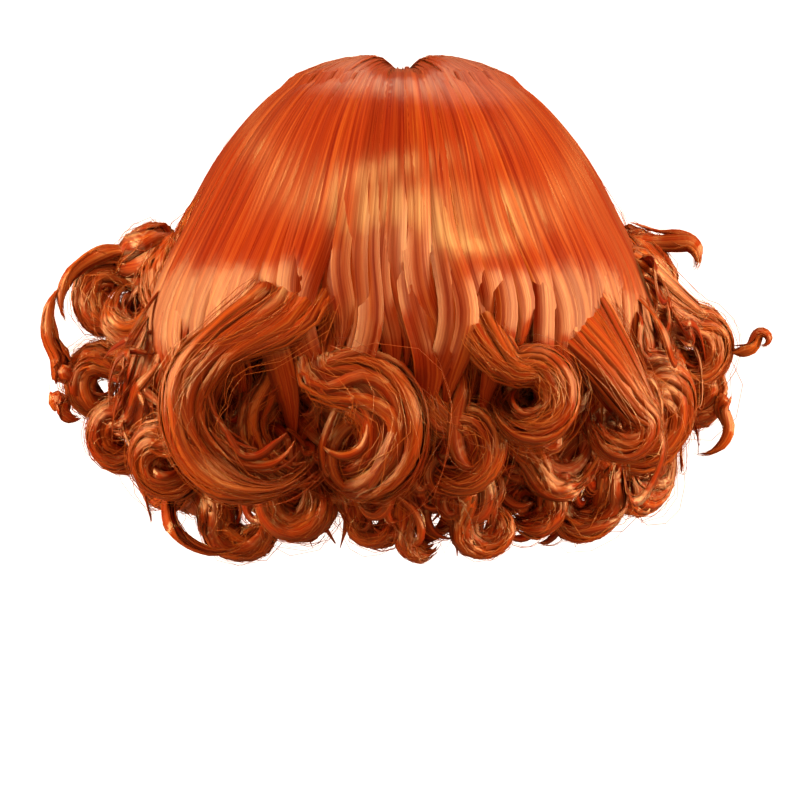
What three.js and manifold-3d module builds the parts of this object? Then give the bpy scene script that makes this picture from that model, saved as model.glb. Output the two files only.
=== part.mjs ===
// A short curly wig in the form it has on a head, with the wearer facing +Y. A net cap holds an edge
// band and a parting strip. Base hair covers the cap, long locks fall over it from the parting and
// curl, shorter curls fill in under them, and a few wisps stand off. Millimetres, +Z up. The origin is
// the point inside the cap where the top of the head touches it.
import * as THREE from "three";
import { mergeVertices } from "three/addons/utils/BufferGeometryUtils.js";
import Module from "manifold-3d";

// The head that the cap fits
const headHalfWidth = 75;
const headHalfDepth = 94;
const headHeight = 90; // from the widest level up to the top of the head

// The cap, its edge band and the parting strip
const capWall = 1.6;
const bandHeight = 9;
const bandWall = 2.2;
const stripWidth = 9;
const stripWall = 1.4;
const partingBack = -26;
const partingFront = 72;
const pieceGap = 0.4; // between any two pieces
const facetRoom = 2; // between the base hair and the locks on it

// The hair: how far it stands out from the head, and how far it falls below the head's widest level
const sideSpread = 91;
const backSpread = 46;
const frontSpread = 24;
const topRise = 14;
const hairFall = 148;
const crownHalf = 5.6; // half the thickness of the locks at the crown
const lockWidth = 44;
const lockThickness = 14;
const curlDepth = 19; // thickness of a lock in its curl
const curlRadius = 30;
const wispWidth = 5;
const wispThickness = 3;
const curlWind = 0.22; // share of its radius that a curl loses as it winds inwards
const baseDepth = 30; // how far behind the curls the base hair lies at the nape
const baseTopShare = 0.4; // share of its inset that the base hair has at the very top
const baseTopDrop = 0.12; // drop where it has all of it
const rootRise = 4.2; // middle of a lock above the parting strip at its root
const rootOffset = 3.6; // and sideways from the middle of the parting

const hairHalfWidth = headHalfWidth + sideSpread;
const hairBackDepth = headHalfDepth + backSpread;
const hairFrontDepth = headHalfDepth + frontSpread;
const hairHeight = topRise + headHeight + hairFall;
const hairTop = topRise - crownHalf; // mid-surface of the hair at the crown

// The mid-surface of the outer hair, level by level: drop below the top as a share of the hair's
// height, and the reach sideways, backwards and forwards as shares of the hair's size.
const hairLevels = [
  { drop: 0.0, side: 0.1, back: 0.16, front: 0.2 },
  { drop: 0.03, side: 0.265, back: 0.35, front: 0.43 },
  { drop: 0.07, side: 0.345, back: 0.5, front: 0.6 },
  { drop: 0.15, side: 0.455, back: 0.665, front: 0.79 },
  { drop: 0.23, side: 0.54, back: 0.76, front: 0.92 },
  { drop: 0.31, side: 0.6, back: 0.82, front: 0.98 },
  { drop: 0.4, side: 0.665, back: 0.85, front: 1.0 },
  { drop: 0.5, side: 0.73, back: 0.86, front: 0.95 },
  { drop: 0.6, side: 0.77, back: 0.88, front: 0.92 },
  { drop: 0.7, side: 0.79, back: 0.88, front: 0.88 },
  { drop: 0.8, side: 0.76, back: 0.84, front: 0.8 },
  { drop: 0.9, side: 0.66, back: 0.76, front: 0.7 },
  { drop: 1.0, side: 0.52, back: 0.64, front: 0.56 },
];

// How far down the cap and the base hair reach, by azimuth from the middle of the back (0) to the
// middle of the forehead (180): the cap as degrees from the top of the head, the hair as a drop.
const rimTable = [
  { azimuth: 0, capAngle: 128, hairDrop: 0.95 },
  { azimuth: 45, capAngle: 124, hairDrop: 0.94 },
  { azimuth: 75, capAngle: 108, hairDrop: 0.88 },
  { azimuth: 95, capAngle: 102, hairDrop: 0.8 },
  { azimuth: 120, capAngle: 92, hairDrop: 0.62 },
  { azimuth: 145, capAngle: 68, hairDrop: 0.36 },
  { azimuth: 180, capAngle: 60, hairDrop: 0.25 },
];

// Size along a lock, from its root (0) over the start of its curl (1) to its tip (2). stem is a share
// of the lock's width, curl a share of the width in the curl, thick a share of the thickness there.
const lockTaper = [
  { at: 0.0, stem: 0.12, curl: 0, thick: 0.3 },
  { at: 0.12, stem: 0.42, curl: 0, thick: 0.62 },
  { at: 0.4, stem: 1.0, curl: 0, thick: 0.95 },
  { at: 0.8, stem: 0.95, curl: 0, thick: 1.0 },
  { at: 1.0, stem: 0.32, curl: 0.34, thick: 0.95 },
  { at: 1.25, stem: 0, curl: 1.0, thick: 1.0 },
  { at: 1.75, stem: 0, curl: 0.95, thick: 1.0 },
  { at: 2.0, stem: 0, curl: 0.3, thick: 0.4 },
];
const wispTaper = [
  { at: 0.0, stem: 1.4, curl: 0, thick: 1.0 },
  { at: 1.0, stem: 1.0, curl: 0, thick: 1.0 },
  { at: 2.0, stem: 0.35, curl: 0, thick: 0.3 },
];

// Locks of hair. root is the place along the parting, 0 at its back end and 1 at the forehead, and a
// lock without one starts on the base hair. stem rows are azimuth in degrees, drop and lift (share of
// the lock's thickness) on the outer hair. curl is the centre of the curl in the same terms. face and
// tilt are the way the curl looks. radius is a share of curlRadius. enter is the angle where the hair
// comes into the curl (0 right, 90 bottom, 180 left, 270 top, seen from outside), and turn is how far
// it goes round from there, clockwise if positive. coil is how far the tip ends inside the entry, as
// a share of curlRadius. wide is a share of lockWidth, and fat the curl's width as a share of its
// radius. The first in the list lies on top where two would meet.
const longLocks = [
  { name: "lock_back_left_wave", root: 0.04, wide: 0.92, fat: 0.58,
    stem: [[-28, 0.02, 0], [-28, 0.23, 0], [-23, 0.44, 0.5], [-24, 0.52, 1]],
    curl: [-28, 0.76, 1.2], face: -20, tilt: 8, radius: 1.43, enter: 248, turn: -168, coil: 0.3 },
  { name: "lock_back_middle", root: 0.0, wide: 0.85, fat: 1.25,
    stem: [[-10, 0.02, 0], [-10, 0.23, 0], [-12, 0.4, 0], [-18, 0.55, 0]],
    curl: [-14, 0.776, 0.2], face: -10, tilt: 6, radius: 1.0, enter: 256, turn: 220, coil: 0.8 },
  { name: "lock_back_right_ring", root: 0.0, wide: 0.7, fat: 1.2,
    stem: [[17, 0.02, 0], [17, 0.23, 0], [16, 0.4, 0], [14, 0.52, 0.5]],
    curl: [25, 0.71, 0.8], face: 14, tilt: 0, radius: 0.6, enter: 240, turn: 270, coil: 0.4 },
  { name: "lock_right_inner", root: 0.05, wide: 0.95, fat: 1.25,
    stem: [[34, 0.02, 0], [35, 0.23, 0], [36, 0.42, 0], [44, 0.58, 0.5]],
    curl: [48, 0.765, 1.2], face: 32, tilt: 4, radius: 0.42, enter: 300, turn: 230, coil: 0.5 },
  { name: "lock_right_big", root: 0.1, wide: 0.95, fat: 1.3,
    stem: [[52, 0.02, 0], [54, 0.23, 0], [53, 0.42, 0], [53, 0.57, 0.2]],
    curl: [68, 0.75, 0.1], face: 36, tilt: 4, radius: 0.72, enter: 238, turn: 265, coil: 0.9 },
  { name: "lock_left_ring", root: 0.1, wide: 1.0, fat: 1.28,
    stem: [[-50, 0.02, 0], [-50, 0.23, 0], [-45, 0.44, 0], [-47, 0.66, 0.4]],
    curl: [-62, 0.842, 0.8], face: -30, tilt: 6, radius: 0.47, enter: 292, turn: -275, coil: 0.6 },
  { name: "lock_back_right_middle", root: 0.0, wide: 0.6, fat: 1.25,
    stem: [[4, 0.02, 0], [4, 0.23, 0], [2, 0.42, -0.3], [3, 0.64, -0.6]],
    curl: [12, 0.82, -0.2], face: 8, tilt: 6, radius: 0.58, enter: 250, turn: 265, coil: 0.7 },
  { name: "lock_left_far", root: 0.2, wide: 0.95, fat: 1.28,
    stem: [[-71, 0.02, 0], [-70, 0.23, 0], [-64, 0.44, 0], [-70, 0.64, 0.2]],
    curl: [-88, 0.796, 1.0], face: -30, tilt: 4, radius: 0.44, enter: 300, turn: -275, coil: 0.5 },
  { name: "lock_right_far", root: 0.22, wide: 0.95, fat: 1.3,
    stem: [[71, 0.02, 0], [71, 0.23, 0], [69, 0.44, 0]],
    curl: [88, 0.61, 1.2], face: 30, tilt: 0, radius: 0.5, enter: 262, turn: 265, coil: 0.5 },
  { name: "lock_left_puff", root: 0.3, wide: 0.95, fat: 1.2,
    stem: [[-93, 0.02, 0], [-91, 0.23, 0], [-78, 0.4, 0.2]],
    curl: [-82, 0.51, 0.9], face: -14, tilt: 0, radius: 0.58, enter: 325, turn: 235, coil: 0.5 },
  { name: "lock_right_puff", root: 0.3, wide: 0.95, fat: 1.28,
    stem: [[93, 0.02, 0], [91, 0.23, 0], [86, 0.37, 0.1]],
    curl: [94, 0.505, 1.1], face: 30, tilt: 0, radius: 0.46, enter: 232, turn: -250, coil: 0.4 },
  { name: "lock_left_temple", root: 0.55, wide: 1.3, fat: 1.3,
    stem: [[-128, 0.02, 0], [-117, 0.23, 0], [-109, 0.44, 0]],
    curl: [-117, 0.6, 0.8], face: -112, tilt: 0, radius: 0.8, enter: 320, turn: 235, coil: 0.6 },
  { name: "lock_right_temple", root: 0.55, wide: 1.3, fat: 1.3,
    stem: [[128, 0.02, 0], [117, 0.23, 0], [109, 0.44, 0]],
    curl: [117, 0.6, 0.8], face: 112, tilt: 0, radius: 0.8, enter: 220, turn: -235, coil: 0.6 },
  { name: "fringe_left", root: 0.84, wide: 1.35, fat: 1.3,
    stem: [[-162, 0.04, 0], [-150, 0.19, 0], [-136, 0.36, 0]],
    curl: [-134, 0.5, 0.6], face: -134, tilt: 0, radius: 0.66, enter: 240, turn: 260, coil: 0.6 },
  { name: "fringe_right", root: 0.84, wide: 1.35, fat: 1.3,
    stem: [[162, 0.04, 0], [150, 0.19, 0], [136, 0.36, 0]],
    curl: [134, 0.5, 0.6], face: 134, tilt: 0, radius: 0.66, enter: 300, turn: -260, coil: 0.6 },
];

const shortLocks = [
  { name: "curl_back_left_inner", wide: 0.6, fat: 0.55,
    stem: [[-18, 0.56, -0.8], [-22, 0.63, -0.4]],
    curl: [-24, 0.785, -0.5], face: -18, tilt: 8, radius: 0.95, enter: 245, turn: -135, coil: 0 },
  { name: "curl_left_upper", wide: 0.8, fat: 1.3,
    stem: [[-86, 0.36, -0.6], [-84, 0.4, 0.5]],
    curl: [-94, 0.5, 1.6], face: -6, tilt: 0, radius: 0.5, enter: 285, turn: -230, coil: -0.3 },
  { name: "curl_left_middle", wide: 0.8, fat: 1.3,
    stem: [[-88, 0.57, -0.6], [-90, 0.6, 0.4]],
    curl: [-92, 0.68, 1.4], face: -10, tilt: 0, radius: 0.46, enter: 300, turn: -250, coil: 0.3 },
  { name: "curl_right_middle", wide: 0.8, fat: 1.3,
    stem: [[78, 0.62, -0.8], [80, 0.66, 0]],
    curl: [92, 0.7, 0.9], face: 20, tilt: 0, radius: 0.46, enter: 245, turn: 255, coil: 0.3 },
  { name: "curl_right_under", wide: 0.6, fat: 0.8,
    stem: [[26, 0.72, -1], [31, 0.77, -0.7]],
    curl: [43, 0.83, -0.3], face: 26, tilt: 8, radius: 0.6, enter: 180, turn: -130, coil: 0 },
  { name: "curl_nape_hook", wide: 0.4, fat: 0.9,
    stem: [[-2, 0.86, -1], [0, 0.91, -0.8]],
    curl: [8, 0.985, -0.3], face: 4, tilt: 12, radius: 0.4, enter: 200, turn: -130, coil: 0 },
  { name: "curl_nape_ring", wide: 0.4, fat: 1.15,
    stem: [[14, 0.85, -1], [17, 0.9, -0.6]],
    curl: [25, 0.965, 0], face: 12, tilt: 12, radius: 0.4, enter: 200, turn: -270, coil: 0.2 },
  { name: "curl_nape_left", wide: 0.5, fat: 1.2,
    stem: [[-30, 0.8, -1], [-34, 0.85, -0.8]],
    curl: [-30, 0.915, -0.4], face: -18, tilt: 12, radius: 0.5, enter: 200, turn: -240, coil: 0.2 },
  { name: "curl_nape_small", wide: 0.4, fat: 1.2,
    stem: [[-15, 0.84, -1], [-14, 0.9, -1]],
    curl: [-9, 0.955, -0.8], face: -4, tilt: 12, radius: 0.32, enter: 190, turn: -220, coil: 0 },
  { name: "curl_nape_right", wide: 0.5, fat: 1.0,
    stem: [[36, 0.82, -1], [43, 0.86, -0.8]],
    curl: [38, 0.925, -0.4], face: 16, tilt: 12, radius: 0.48, enter: 325, turn: 150, coil: 0 },
  { name: "curl_nape_right_outer", wide: 0.6, fat: 1.15,
    stem: [[58, 0.78, -1], [66, 0.83, -0.7]],
    curl: [58, 0.915, -0.2], face: 26, tilt: 10, radius: 0.56, enter: 325, turn: 190, coil: 0.2 },
  { name: "curl_nape_left_outer", wide: 0.6, fat: 1.25,
    stem: [[-56, 0.8, -1], [-64, 0.86, -0.8]],
    curl: [-55, 0.95, -0.2], face: -24, tilt: 10, radius: 0.54, enter: 200, turn: -200, coil: 0.1 },
  { name: "curl_left_low", wide: 0.7, fat: 1.3,
    stem: [[-92, 0.66, -0.8], [-96, 0.72, -0.3]],
    curl: [-100, 0.85, 0.2], face: -60, tilt: 6, radius: 0.52, enter: 190, turn: -230, coil: 0.2 },
  { name: "curl_right_low", wide: 0.7, fat: 1.3,
    stem: [[86, 0.7, -0.8], [90, 0.76, -0.3]],
    curl: [88, 0.86, 0.2], face: 50, tilt: 6, radius: 0.52, enter: 340, turn: 230, coil: 0.2 },
  { name: "curl_left_ear", wide: 0.8, fat: 1.3,
    stem: [[-117, 0.66, -0.8], [-123, 0.72, -0.5]],
    curl: [-115, 0.83, 0], face: -110, tilt: 4, radius: 0.68, enter: 185, turn: -225, coil: 0.4 },
  { name: "curl_right_ear", wide: 0.8, fat: 1.3,
    stem: [[117, 0.66, -0.8], [123, 0.72, -0.5]],
    curl: [115, 0.83, 0], face: 110, tilt: 4, radius: 0.68, enter: 355, turn: 225, coil: 0.4 },
  { name: "curl_left_cheek", wide: 0.7, fat: 1.3,
    stem: [[-131, 0.48, -0.8], [-143, 0.61, -0.5]],
    curl: [-135, 0.73, 0.2], face: -132, tilt: 4, radius: 0.62, enter: 185, turn: -225, coil: 0.4 },
  { name: "curl_right_cheek", wide: 0.7, fat: 1.3,
    stem: [[131, 0.48, -0.8], [143, 0.61, -0.5]],
    curl: [135, 0.73, 0.2], face: 132, tilt: 4, radius: 0.62, enter: 355, turn: 225, coil: 0.4 },
];

// Wisps that stand off the curls. wide is a share of wispWidth.
const wisps = [
  { name: "wisp_left_fan", wide: 1.2,
    stem: [[-90, 0.68, 2.75], [-90, 0.65, 2.8]],
    curl: [-90, 0.52, 1.95], face: 0, tilt: 0, radius: 1.04, enter: 130, turn: 70, coil: 0 },
  { name: "wisp_left_loop", wide: 1.0,
    stem: [[-90, 0.7, 2.7], [-90, 0.71, 2.85]],
    curl: [-90, 0.725, 2.35], face: 0, tilt: 0, radius: 0.25, enter: 180, turn: -100, coil: 0 },
  { name: "wisp_left_top", wide: 1.0,
    stem: [[-88, 0.42, 1.6], [-90, 0.41, 2.0]],
    curl: [-90, 0.52, 1.9], face: 0, tilt: 0, radius: 0.88, enter: 262, turn: -90, coil: 0 },
  { name: "wisp_right_flick", wide: 1.2,
    stem: [[86, 0.36, 0.5], [90, 0.378, 1.4]],
    curl: [90, 0.42, 1.9], face: 0, tilt: 0, radius: 0.36, enter: 262, turn: 120, coil: 0 },
  { name: "wisp_right_loop", wide: 0.6,
    stem: [[90, 0.607, 2.6], [90, 0.6, 3.3]],
    curl: [90, 0.586, 3.8], face: 0, tilt: 0, radius: 0.12, enter: 225, turn: 210, coil: 0 },
  { name: "wisp_right_low", wide: 0.8,
    stem: [[90, 0.7, 2.2], [90, 0.72, 2.2]],
    curl: [90, 0.775, 1.5], face: 0, tilt: 0, radius: 0.53, enter: 318, turn: 125, coil: 0 },
  { name: "wisp_left_bottom", wide: 1.0,
    stem: [[-84, 0.88, 0.4], [-80, 0.9, 0.5]],
    curl: [-52, 0.925, 0.3], face: -10, tilt: 0, radius: 0.97, enter: 158, turn: -75, coil: 0 },
];

// Flat sides round each kind of lock, and steps along its stem and its curl
const lockFacets = {
  long: { sides: 7, stem: 6, curl: 8 },
  short: { sides: 6, stem: 2, curl: 7 },
  wisp: { sides: 5, stem: 2, curl: 5 },
};
const shellSides = 24;
const shellRows = 7;
const stripCorners = 4;
const stripSteps = 6;
const stemStep = 0.07; // drop between the corners of a stem
const curlCorner = 45; // degrees of turn between the corners of a curl
const weldGap = 1e-4;
const radians = THREE.MathUtils.degToRad;

const wasm = await Module();
wasm.setup();

// A value of one column, read between the rows of a table.
function readTable(rows, key, at, column) {
  let i = 1;
  while (i < rows.length - 1 && rows[i][key] < at) i += 1;
  const [low, high] = [rows[i - 1], rows[i]];
  const share = THREE.MathUtils.clamp((at - low[key]) / (high[key] - low[key]), 0, 1);
  return THREE.MathUtils.lerp(low[column], high[column], share);
}

// The outward direction for an azimuth (0 is the middle of the back) and a downward tilt.
function facing(azimuth, tilt) {
  const [a, t] = [radians(azimuth), radians(tilt)];
  const level = Math.cos(t);
  return new THREE.Vector3(Math.sin(a) * level, -Math.cos(a) * level, -Math.sin(t));
}

// A point on the outer hair, lifted outwards by a length.
function onHair(azimuth, drop, lift) {
  const a = radians(azimuth);
  const [column, size] = Math.cos(a) > 0 ? ["back", hairBackDepth] : ["front", hairFrontDepth];
  const depth = readTable(hairLevels, "drop", drop, column) * size;
  const side = readTable(hairLevels, "drop", drop, "side") * hairHalfWidth;
  const height = hairTop - drop * (hairHeight - lockThickness);
  const point = new THREE.Vector3(side * Math.sin(a), -depth * Math.cos(a), height);
  return point.addScaledVector(hairNormal(point), lift);
}

// The way out of the hair at a point: from the middle of the head above its widest level, and
// level below that.
function hairNormal(point) {
  return new THREE.Vector3(point.x, point.y, Math.max(0, point.z + headHeight)).normalize();
}

// A point on the head, grown outwards by a length: azimuth, and degrees from the top of the head.
function onHead(azimuth, fromTop, grow) {
  const [a, t] = [radians(azimuth), radians(fromTop)];
  return new THREE.Vector3(
    (headHalfWidth + grow) * Math.sin(t) * Math.sin(a),
    -(headHalfDepth + grow) * Math.sin(t) * Math.cos(a),
    (headHeight + grow) * Math.cos(t) - headHeight,
  );
}

// The height of the head's top line at a distance forwards, grown outwards.
function headTopAt(y, grow) {
  return (headHeight + grow) * Math.sqrt(1 - (y / (headHalfDepth + grow)) ** 2) - headHeight;
}

// A place given as azimuth, drop and lift, the lift as a share of the lock's thickness.
const onRow = ([azimuth, drop, lift]) => onHair(azimuth, drop, lift * lockThickness);

// The radius of a curl after a share of its turn, as it winds inwards.
const curlReach = (lock, share) => lock.radius * curlRadius * (1 - curlWind * share);

const capRim = (azimuth) => readTable(rimTable, "azimuth", Math.abs(azimuth), "capAngle");
const hairRim = (azimuth) => readTable(rimTable, "azimuth", Math.abs(azimuth), "hairDrop");

// How far the base hair lies inside the outer hair: under the locks, which are thin at the top, and
// deeper behind the curls.
function baseInset(drop) {
  const underLocks = THREE.MathUtils.lerp(lockThickness, curlDepth, drop) / 2 + facetRoom;
  const ease = THREE.MathUtils.lerp(baseTopShare, 1, Math.min(1, drop / baseTopDrop));
  return underLocks * ease + baseDepth * drop ** 3;
}

// A closed geometry as a solid, facing out.
function solidOf(geometry) {
  geometry.deleteAttribute("normal");
  geometry.deleteAttribute("uv");
  const merged = mergeVertices(geometry, weldGap);
  const corners = merged.index.array;
  const faces = [];
  for (let i = 0; i < corners.length; i += 3) {
    const [a, b, c] = corners.subarray(i, i + 3);
    if (a !== b && b !== c && c !== a) faces.push(a, b, c);
  }
  const vertProperties = merged.attributes.position.array;
  const solidFrom = (list) => {
    const mesh = { numProp: 3, vertProperties, triVerts: new Uint32Array(list) };
    return new wasm.Manifold(new wasm.Mesh(mesh));
  };
  const solid = solidFrom(faces);
  return solid.volume() > 0 ? solid : solidFrom(faces.reverse());
}

// A round bar bent along a route. Its levels are spread by place, which turns a share of the levels
// into a share of the length, and halfWidth and halfThick give its size for a share of the levels. With
// four sides its section is a rectangle, and with more an ellipse.
function bentBar(points, normals, halfWidth, halfThick, sides, steps, place = (level) => level) {
  const path = new THREE.CatmullRomCurve3(points, false, "centripetal");
  const outward = new THREE.CatmullRomCurve3(normals, false, "centripetal");
  const [reach, turn] = sides === 4 ? [Math.SQRT2, Math.PI / 4] : [1, 0];
  const bar = new THREE.CylinderGeometry(reach, reach, 1, sides, steps, false, turn);
  const spots = bar.getAttribute("position");
  for (let i = 0; i < spots.count; i += 1) {
    const level = THREE.MathUtils.clamp(0.5 - spots.getY(i), 0, 1);
    const t = path.getUtoTmapping(place(level));
    const ahead = path.getTangent(t);
    const out = outward.getPoint(t);
    out.addScaledVector(ahead, -out.dot(ahead)).normalize();
    const across = new THREE.Vector3().crossVectors(out, ahead);
    const spot = path.getPoint(t);
    spot.addScaledVector(across, spots.getX(i) * halfWidth(level));
    spot.addScaledVector(out, spots.getZ(i) * halfThick(level));
    spots.setXYZ(i, spot.x, spot.y, spot.z);
  }
  return solidOf(bar);
}

// A stem's place on the outer hair at a share of its way down, with the rows of its table as corners.
function onStem(rows, share) {
  const drop = THREE.MathUtils.lerp(rows[0][1], rows[rows.length - 1][1], share);
  const table = rows.map(([azimuth, at, lift]) => ({ at, azimuth, lift }));
  const azimuth = readTable(table, "at", drop, "azimuth");
  return onHair(azimuth, drop, readTable(table, "at", drop, "lift") * lockThickness);
}

// The route of a lock: its root on the parting where it has one, its stem on the outer hair and its
// curl, each with the way out of the hair there, and the share of its length where the curl starts.
function lockRoute(lock) {
  const points = [];
  const normals = [];
  const add = (point, normal) => {
    points.push(point);
    normals.push(normal);
  };
  const out = facing(lock.face, lock.tilt);
  const stemOut = (point) => (lock.fat ? hairNormal(point) : out);
  if (lock.root !== undefined) {
    const y = THREE.MathUtils.lerp(partingBack, partingFront, lock.root);
    const side = Math.sign(lock.stem[0][0]);
    const height = headTopAt(y, capWall + stripWall + rootRise);
    const root = new THREE.Vector3(side * rootOffset, y, height);
    add(root, hairNormal(root));
  } else if (lock.fat) {
    const [azimuth, drop] = lock.stem[0];
    const start = onHair(azimuth, drop - stemStep / 2, -baseInset(drop));
    add(start, hairNormal(start));
  }
  const rows = lock.stem;
  const stemSteps = Math.max(1, Math.round((rows[rows.length - 1][1] - rows[0][1]) / stemStep));
  for (let i = 0; i <= stemSteps; i += 1) {
    const spot = rows[0][1] < rows[rows.length - 1][1] ? onStem(rows, i / stemSteps) : onRow(rows[i]);
    add(spot, stemOut(spot));
  }
  const stemCorners = points.length;
  const centre = onRow(lock.curl);
  const right = facing(lock.face + 90, 0);
  const down = new THREE.Vector3().crossVectors(out, right).negate();
  const curlSteps = Math.max(3, Math.round(Math.abs(lock.turn) / curlCorner));
  for (let i = 0; i <= curlSteps; i += 1) {
    const share = i / curlSteps;
    const angle = radians(lock.enter + lock.turn * share);
    const reach = curlReach(lock, share);
    const spot = centre.clone();
    spot.addScaledVector(right, reach * Math.cos(angle));
    spot.addScaledVector(down, reach * Math.sin(angle));
    spot.addScaledVector(out, -lock.coil * curlRadius * share * share);
    add(spot, out);
  }
  const lengths = points.slice(1).map((point, i) => point.distanceTo(points[i]));
  const total = lengths.reduce((sum, length) => sum + length, 0);
  const stemLength = lengths.slice(0, stemCorners).reduce((sum, length) => sum + length, 0);
  return { points, normals, stemShare: stemLength / total };
}

// A lock of hair, or the same lock grown all round by a clearance.
function lockSolid(lock, kind, grow) {
  const { points, normals, stemShare } = lockRoute(lock);
  const { sides, stem, curl } = lockFacets[kind];
  const taper = kind === "wisp" ? wispTaper : lockTaper;
  const [width, stemThick, curlThick] =
    kind === "wisp" ? [wispWidth, wispThickness, wispThickness] : [lockWidth, lockThickness, curlDepth];
  const atLevel = (level) => {
    const step = level * (stem + curl);
    return step < stem ? step / stem : 1 + (step - stem) / curl;
  };
  const halfWidth = (level) => {
    const at = atLevel(level);
    const inStem = readTable(taper, "at", at, "stem") * lock.wide * width;
    const curlShare = readTable(taper, "at", at, "curl") * (lock.fat ?? 0);
    return (inStem + curlShare * curlReach(lock, Math.max(0, at - 1))) / 2 + grow;
  };
  const halfThick = (level) => {
    const at = atLevel(level);
    const full = THREE.MathUtils.lerp(stemThick, curlThick, THREE.MathUtils.clamp(at - 0.5, 0, 1));
    return (readTable(taper, "at", at, "thick") * full) / 2 + grow;
  };
  const place = (level) => {
    const at = atLevel(level);
    return at < 1 ? at * stemShare : THREE.MathUtils.lerp(stemShare, 1, at - 1);
  };
  return bentBar(points, normals, halfWidth, halfThick, sides, stem + curl, place);
}

// A hollow dome, open below: outer and inner are points for an azimuth and a share from the top (0)
// to the rim (1).
function domeSolid(outer, inner) {
  const [outerRadius, innerRadius, sweep] = [2, 1, Math.PI / 2];
  const profile = [];
  for (let i = 0; i <= shellRows; i += 1) profile.push([outerRadius, i / shellRows]);
  for (let i = shellRows; i >= 0; i -= 1) profile.push([innerRadius, i / shellRows]);
  const outline = profile.map(([radius, at]) => {
    const angle = at * sweep;
    return new THREE.Vector2(radius * Math.sin(angle), radius * Math.cos(angle));
  });
  const dome = new THREE.LatheGeometry(outline, shellSides);
  const spots = dome.getAttribute("position");
  const spot = new THREE.Vector3();
  for (let i = 0; i < spots.count; i += 1) {
    spot.fromBufferAttribute(spots, i);
    const radius = spot.length();
    const at = Math.acos(THREE.MathUtils.clamp(spot.y / radius, -1, 1)) / sweep;
    const azimuth = at > 0 ? THREE.MathUtils.radToDeg(Math.atan2(spot.x, spot.z)) : 0;
    const placed = radius > (outerRadius + innerRadius) / 2 ? outer(azimuth, at) : inner(azimuth, at);
    spots.setXYZ(i, placed.x, placed.y, placed.z);
  }
  return solidOf(dome);
}

function capSolid(grow) {
  const rimSpare = THREE.MathUtils.radToDeg(grow / headHeight);
  return domeSolid(
    (azimuth, at) => onHead(azimuth, at * (capRim(azimuth) + rimSpare), capWall + grow),
    (azimuth, at) => onHead(azimuth, at * (capRim(azimuth) + rimSpare), -grow),
  );
}

// The band that edges the cap, just below its rim.
function bandSolid(grow) {
  const perDegree = radians(headHeight);
  const inward = (bandWall - capWall) / 2 + grow;
  const section = [[-1, -1], [1, -1], [1, 1], [-1, 1], [-1, -1]];
  const [ringRadius, ringHalf] = [10, 1];
  const outline = section.map(([x, y]) => new THREE.Vector2(ringRadius + x * ringHalf, y * ringHalf));
  const ring = new THREE.LatheGeometry(outline, shellSides);
  const spots = ring.getAttribute("position");
  for (let i = 0; i < spots.count; i += 1) {
    const [x, y, z] = [spots.getX(i), spots.getY(i), spots.getZ(i)];
    const azimuth = THREE.MathUtils.radToDeg(Math.atan2(x, z));
    const below = pieceGap + (y < 0 ? bandHeight + grow : -grow);
    const outside = Math.hypot(x, z) > ringRadius;
    const spot = onHead(azimuth, capRim(azimuth) + below / perDegree, outside ? capWall + inward : -inward);
    spots.setXYZ(i, spot.x, spot.y, spot.z);
  }
  return solidOf(ring);
}

// The base hair, from just outside the cap to just inside the locks.
function baseHairSolid() {
  const clear = capWall + (bandWall - capWall) / 2 + 2 * pieceGap;
  return domeSolid(
    (azimuth, at) => onHair(azimuth, at * hairRim(azimuth), -baseInset(at * hairRim(azimuth))),
    (azimuth, at) => onHead(azimuth, at * capRim(azimuth), clear),
  );
}

// The strip on the cap that the parting shows, grown by a clearance and cut through the hair above.
function stripSolid(grow, rise) {
  const points = [];
  for (let i = 0; i <= stripCorners; i += 1) {
    const y = THREE.MathUtils.lerp(partingBack - grow, partingFront + grow, i / stripCorners);
    points.push(new THREE.Vector3(0, y, headTopAt(y, capWall + 2 * pieceGap + (stripWall + rise) / 2)));
  }
  const halfWidth = () => stripWidth / 2 + grow;
  const halfThick = () => (stripWall + rise) / 2 + grow;
  return bentBar(points, points.map(hairNormal), halfWidth, halfThick, 4, stripSteps);
}

function largestBody(solid) {
  const bodies = solid.decompose();
  return bodies.reduce((best, body) => (body.volume() > best.volume() ? body : best));
}

const wig = new THREE.Group();
wig.name = "short_curly_wig";

const finishes = {
  hair: { color: 0xcc4a14, roughness: 0.35, metalness: 0 },
  baseHair: { color: 0x9a2f0e, roughness: 0.5, metalness: 0 },
  net: { color: 0x4a3226, roughness: 0.9, metalness: 0 },
  band: { color: 0x3a2a22, roughness: 0.85, metalness: 0 },
  scalp: { color: 0xb8704c, roughness: 0.8, metalness: 0 },
};

function addPiece(name, solid, finish) {
  const { vertProperties, triVerts, numProp } = solid.getMesh();
  const spots = new THREE.InterleavedBuffer(vertProperties, numProp);
  const geometry = new THREE.BufferGeometry();
  geometry.setAttribute("position", new THREE.InterleavedBufferAttribute(spots, 3, 0));
  geometry.setIndex(new THREE.BufferAttribute(triVerts, 1));
  const mesh = new THREE.Mesh(geometry.toNonIndexed(), new THREE.MeshStandardMaterial(finish));
  mesh.geometry.computeVertexNormals();
  mesh.name = name;
  wig.add(mesh);
}

addPiece("cap", capSolid(0), finishes.net);
addPiece("cap_band", bandSolid(0), finishes.band);
addPiece("parting_strip", stripSolid(0, 0), finishes.scalp);

// Each piece is cut back by the clearance round every piece before it.
const partingSlot = stripSolid(2 * pieceGap, lockThickness);
const cutters = [capSolid(pieceGap), bandSolid(pieceGap), stripSolid(pieceGap, 0)];
const cutBack = (solid) => largestBody(cutters.reduce((rest, cutter) => rest.subtract(cutter), solid));

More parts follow.
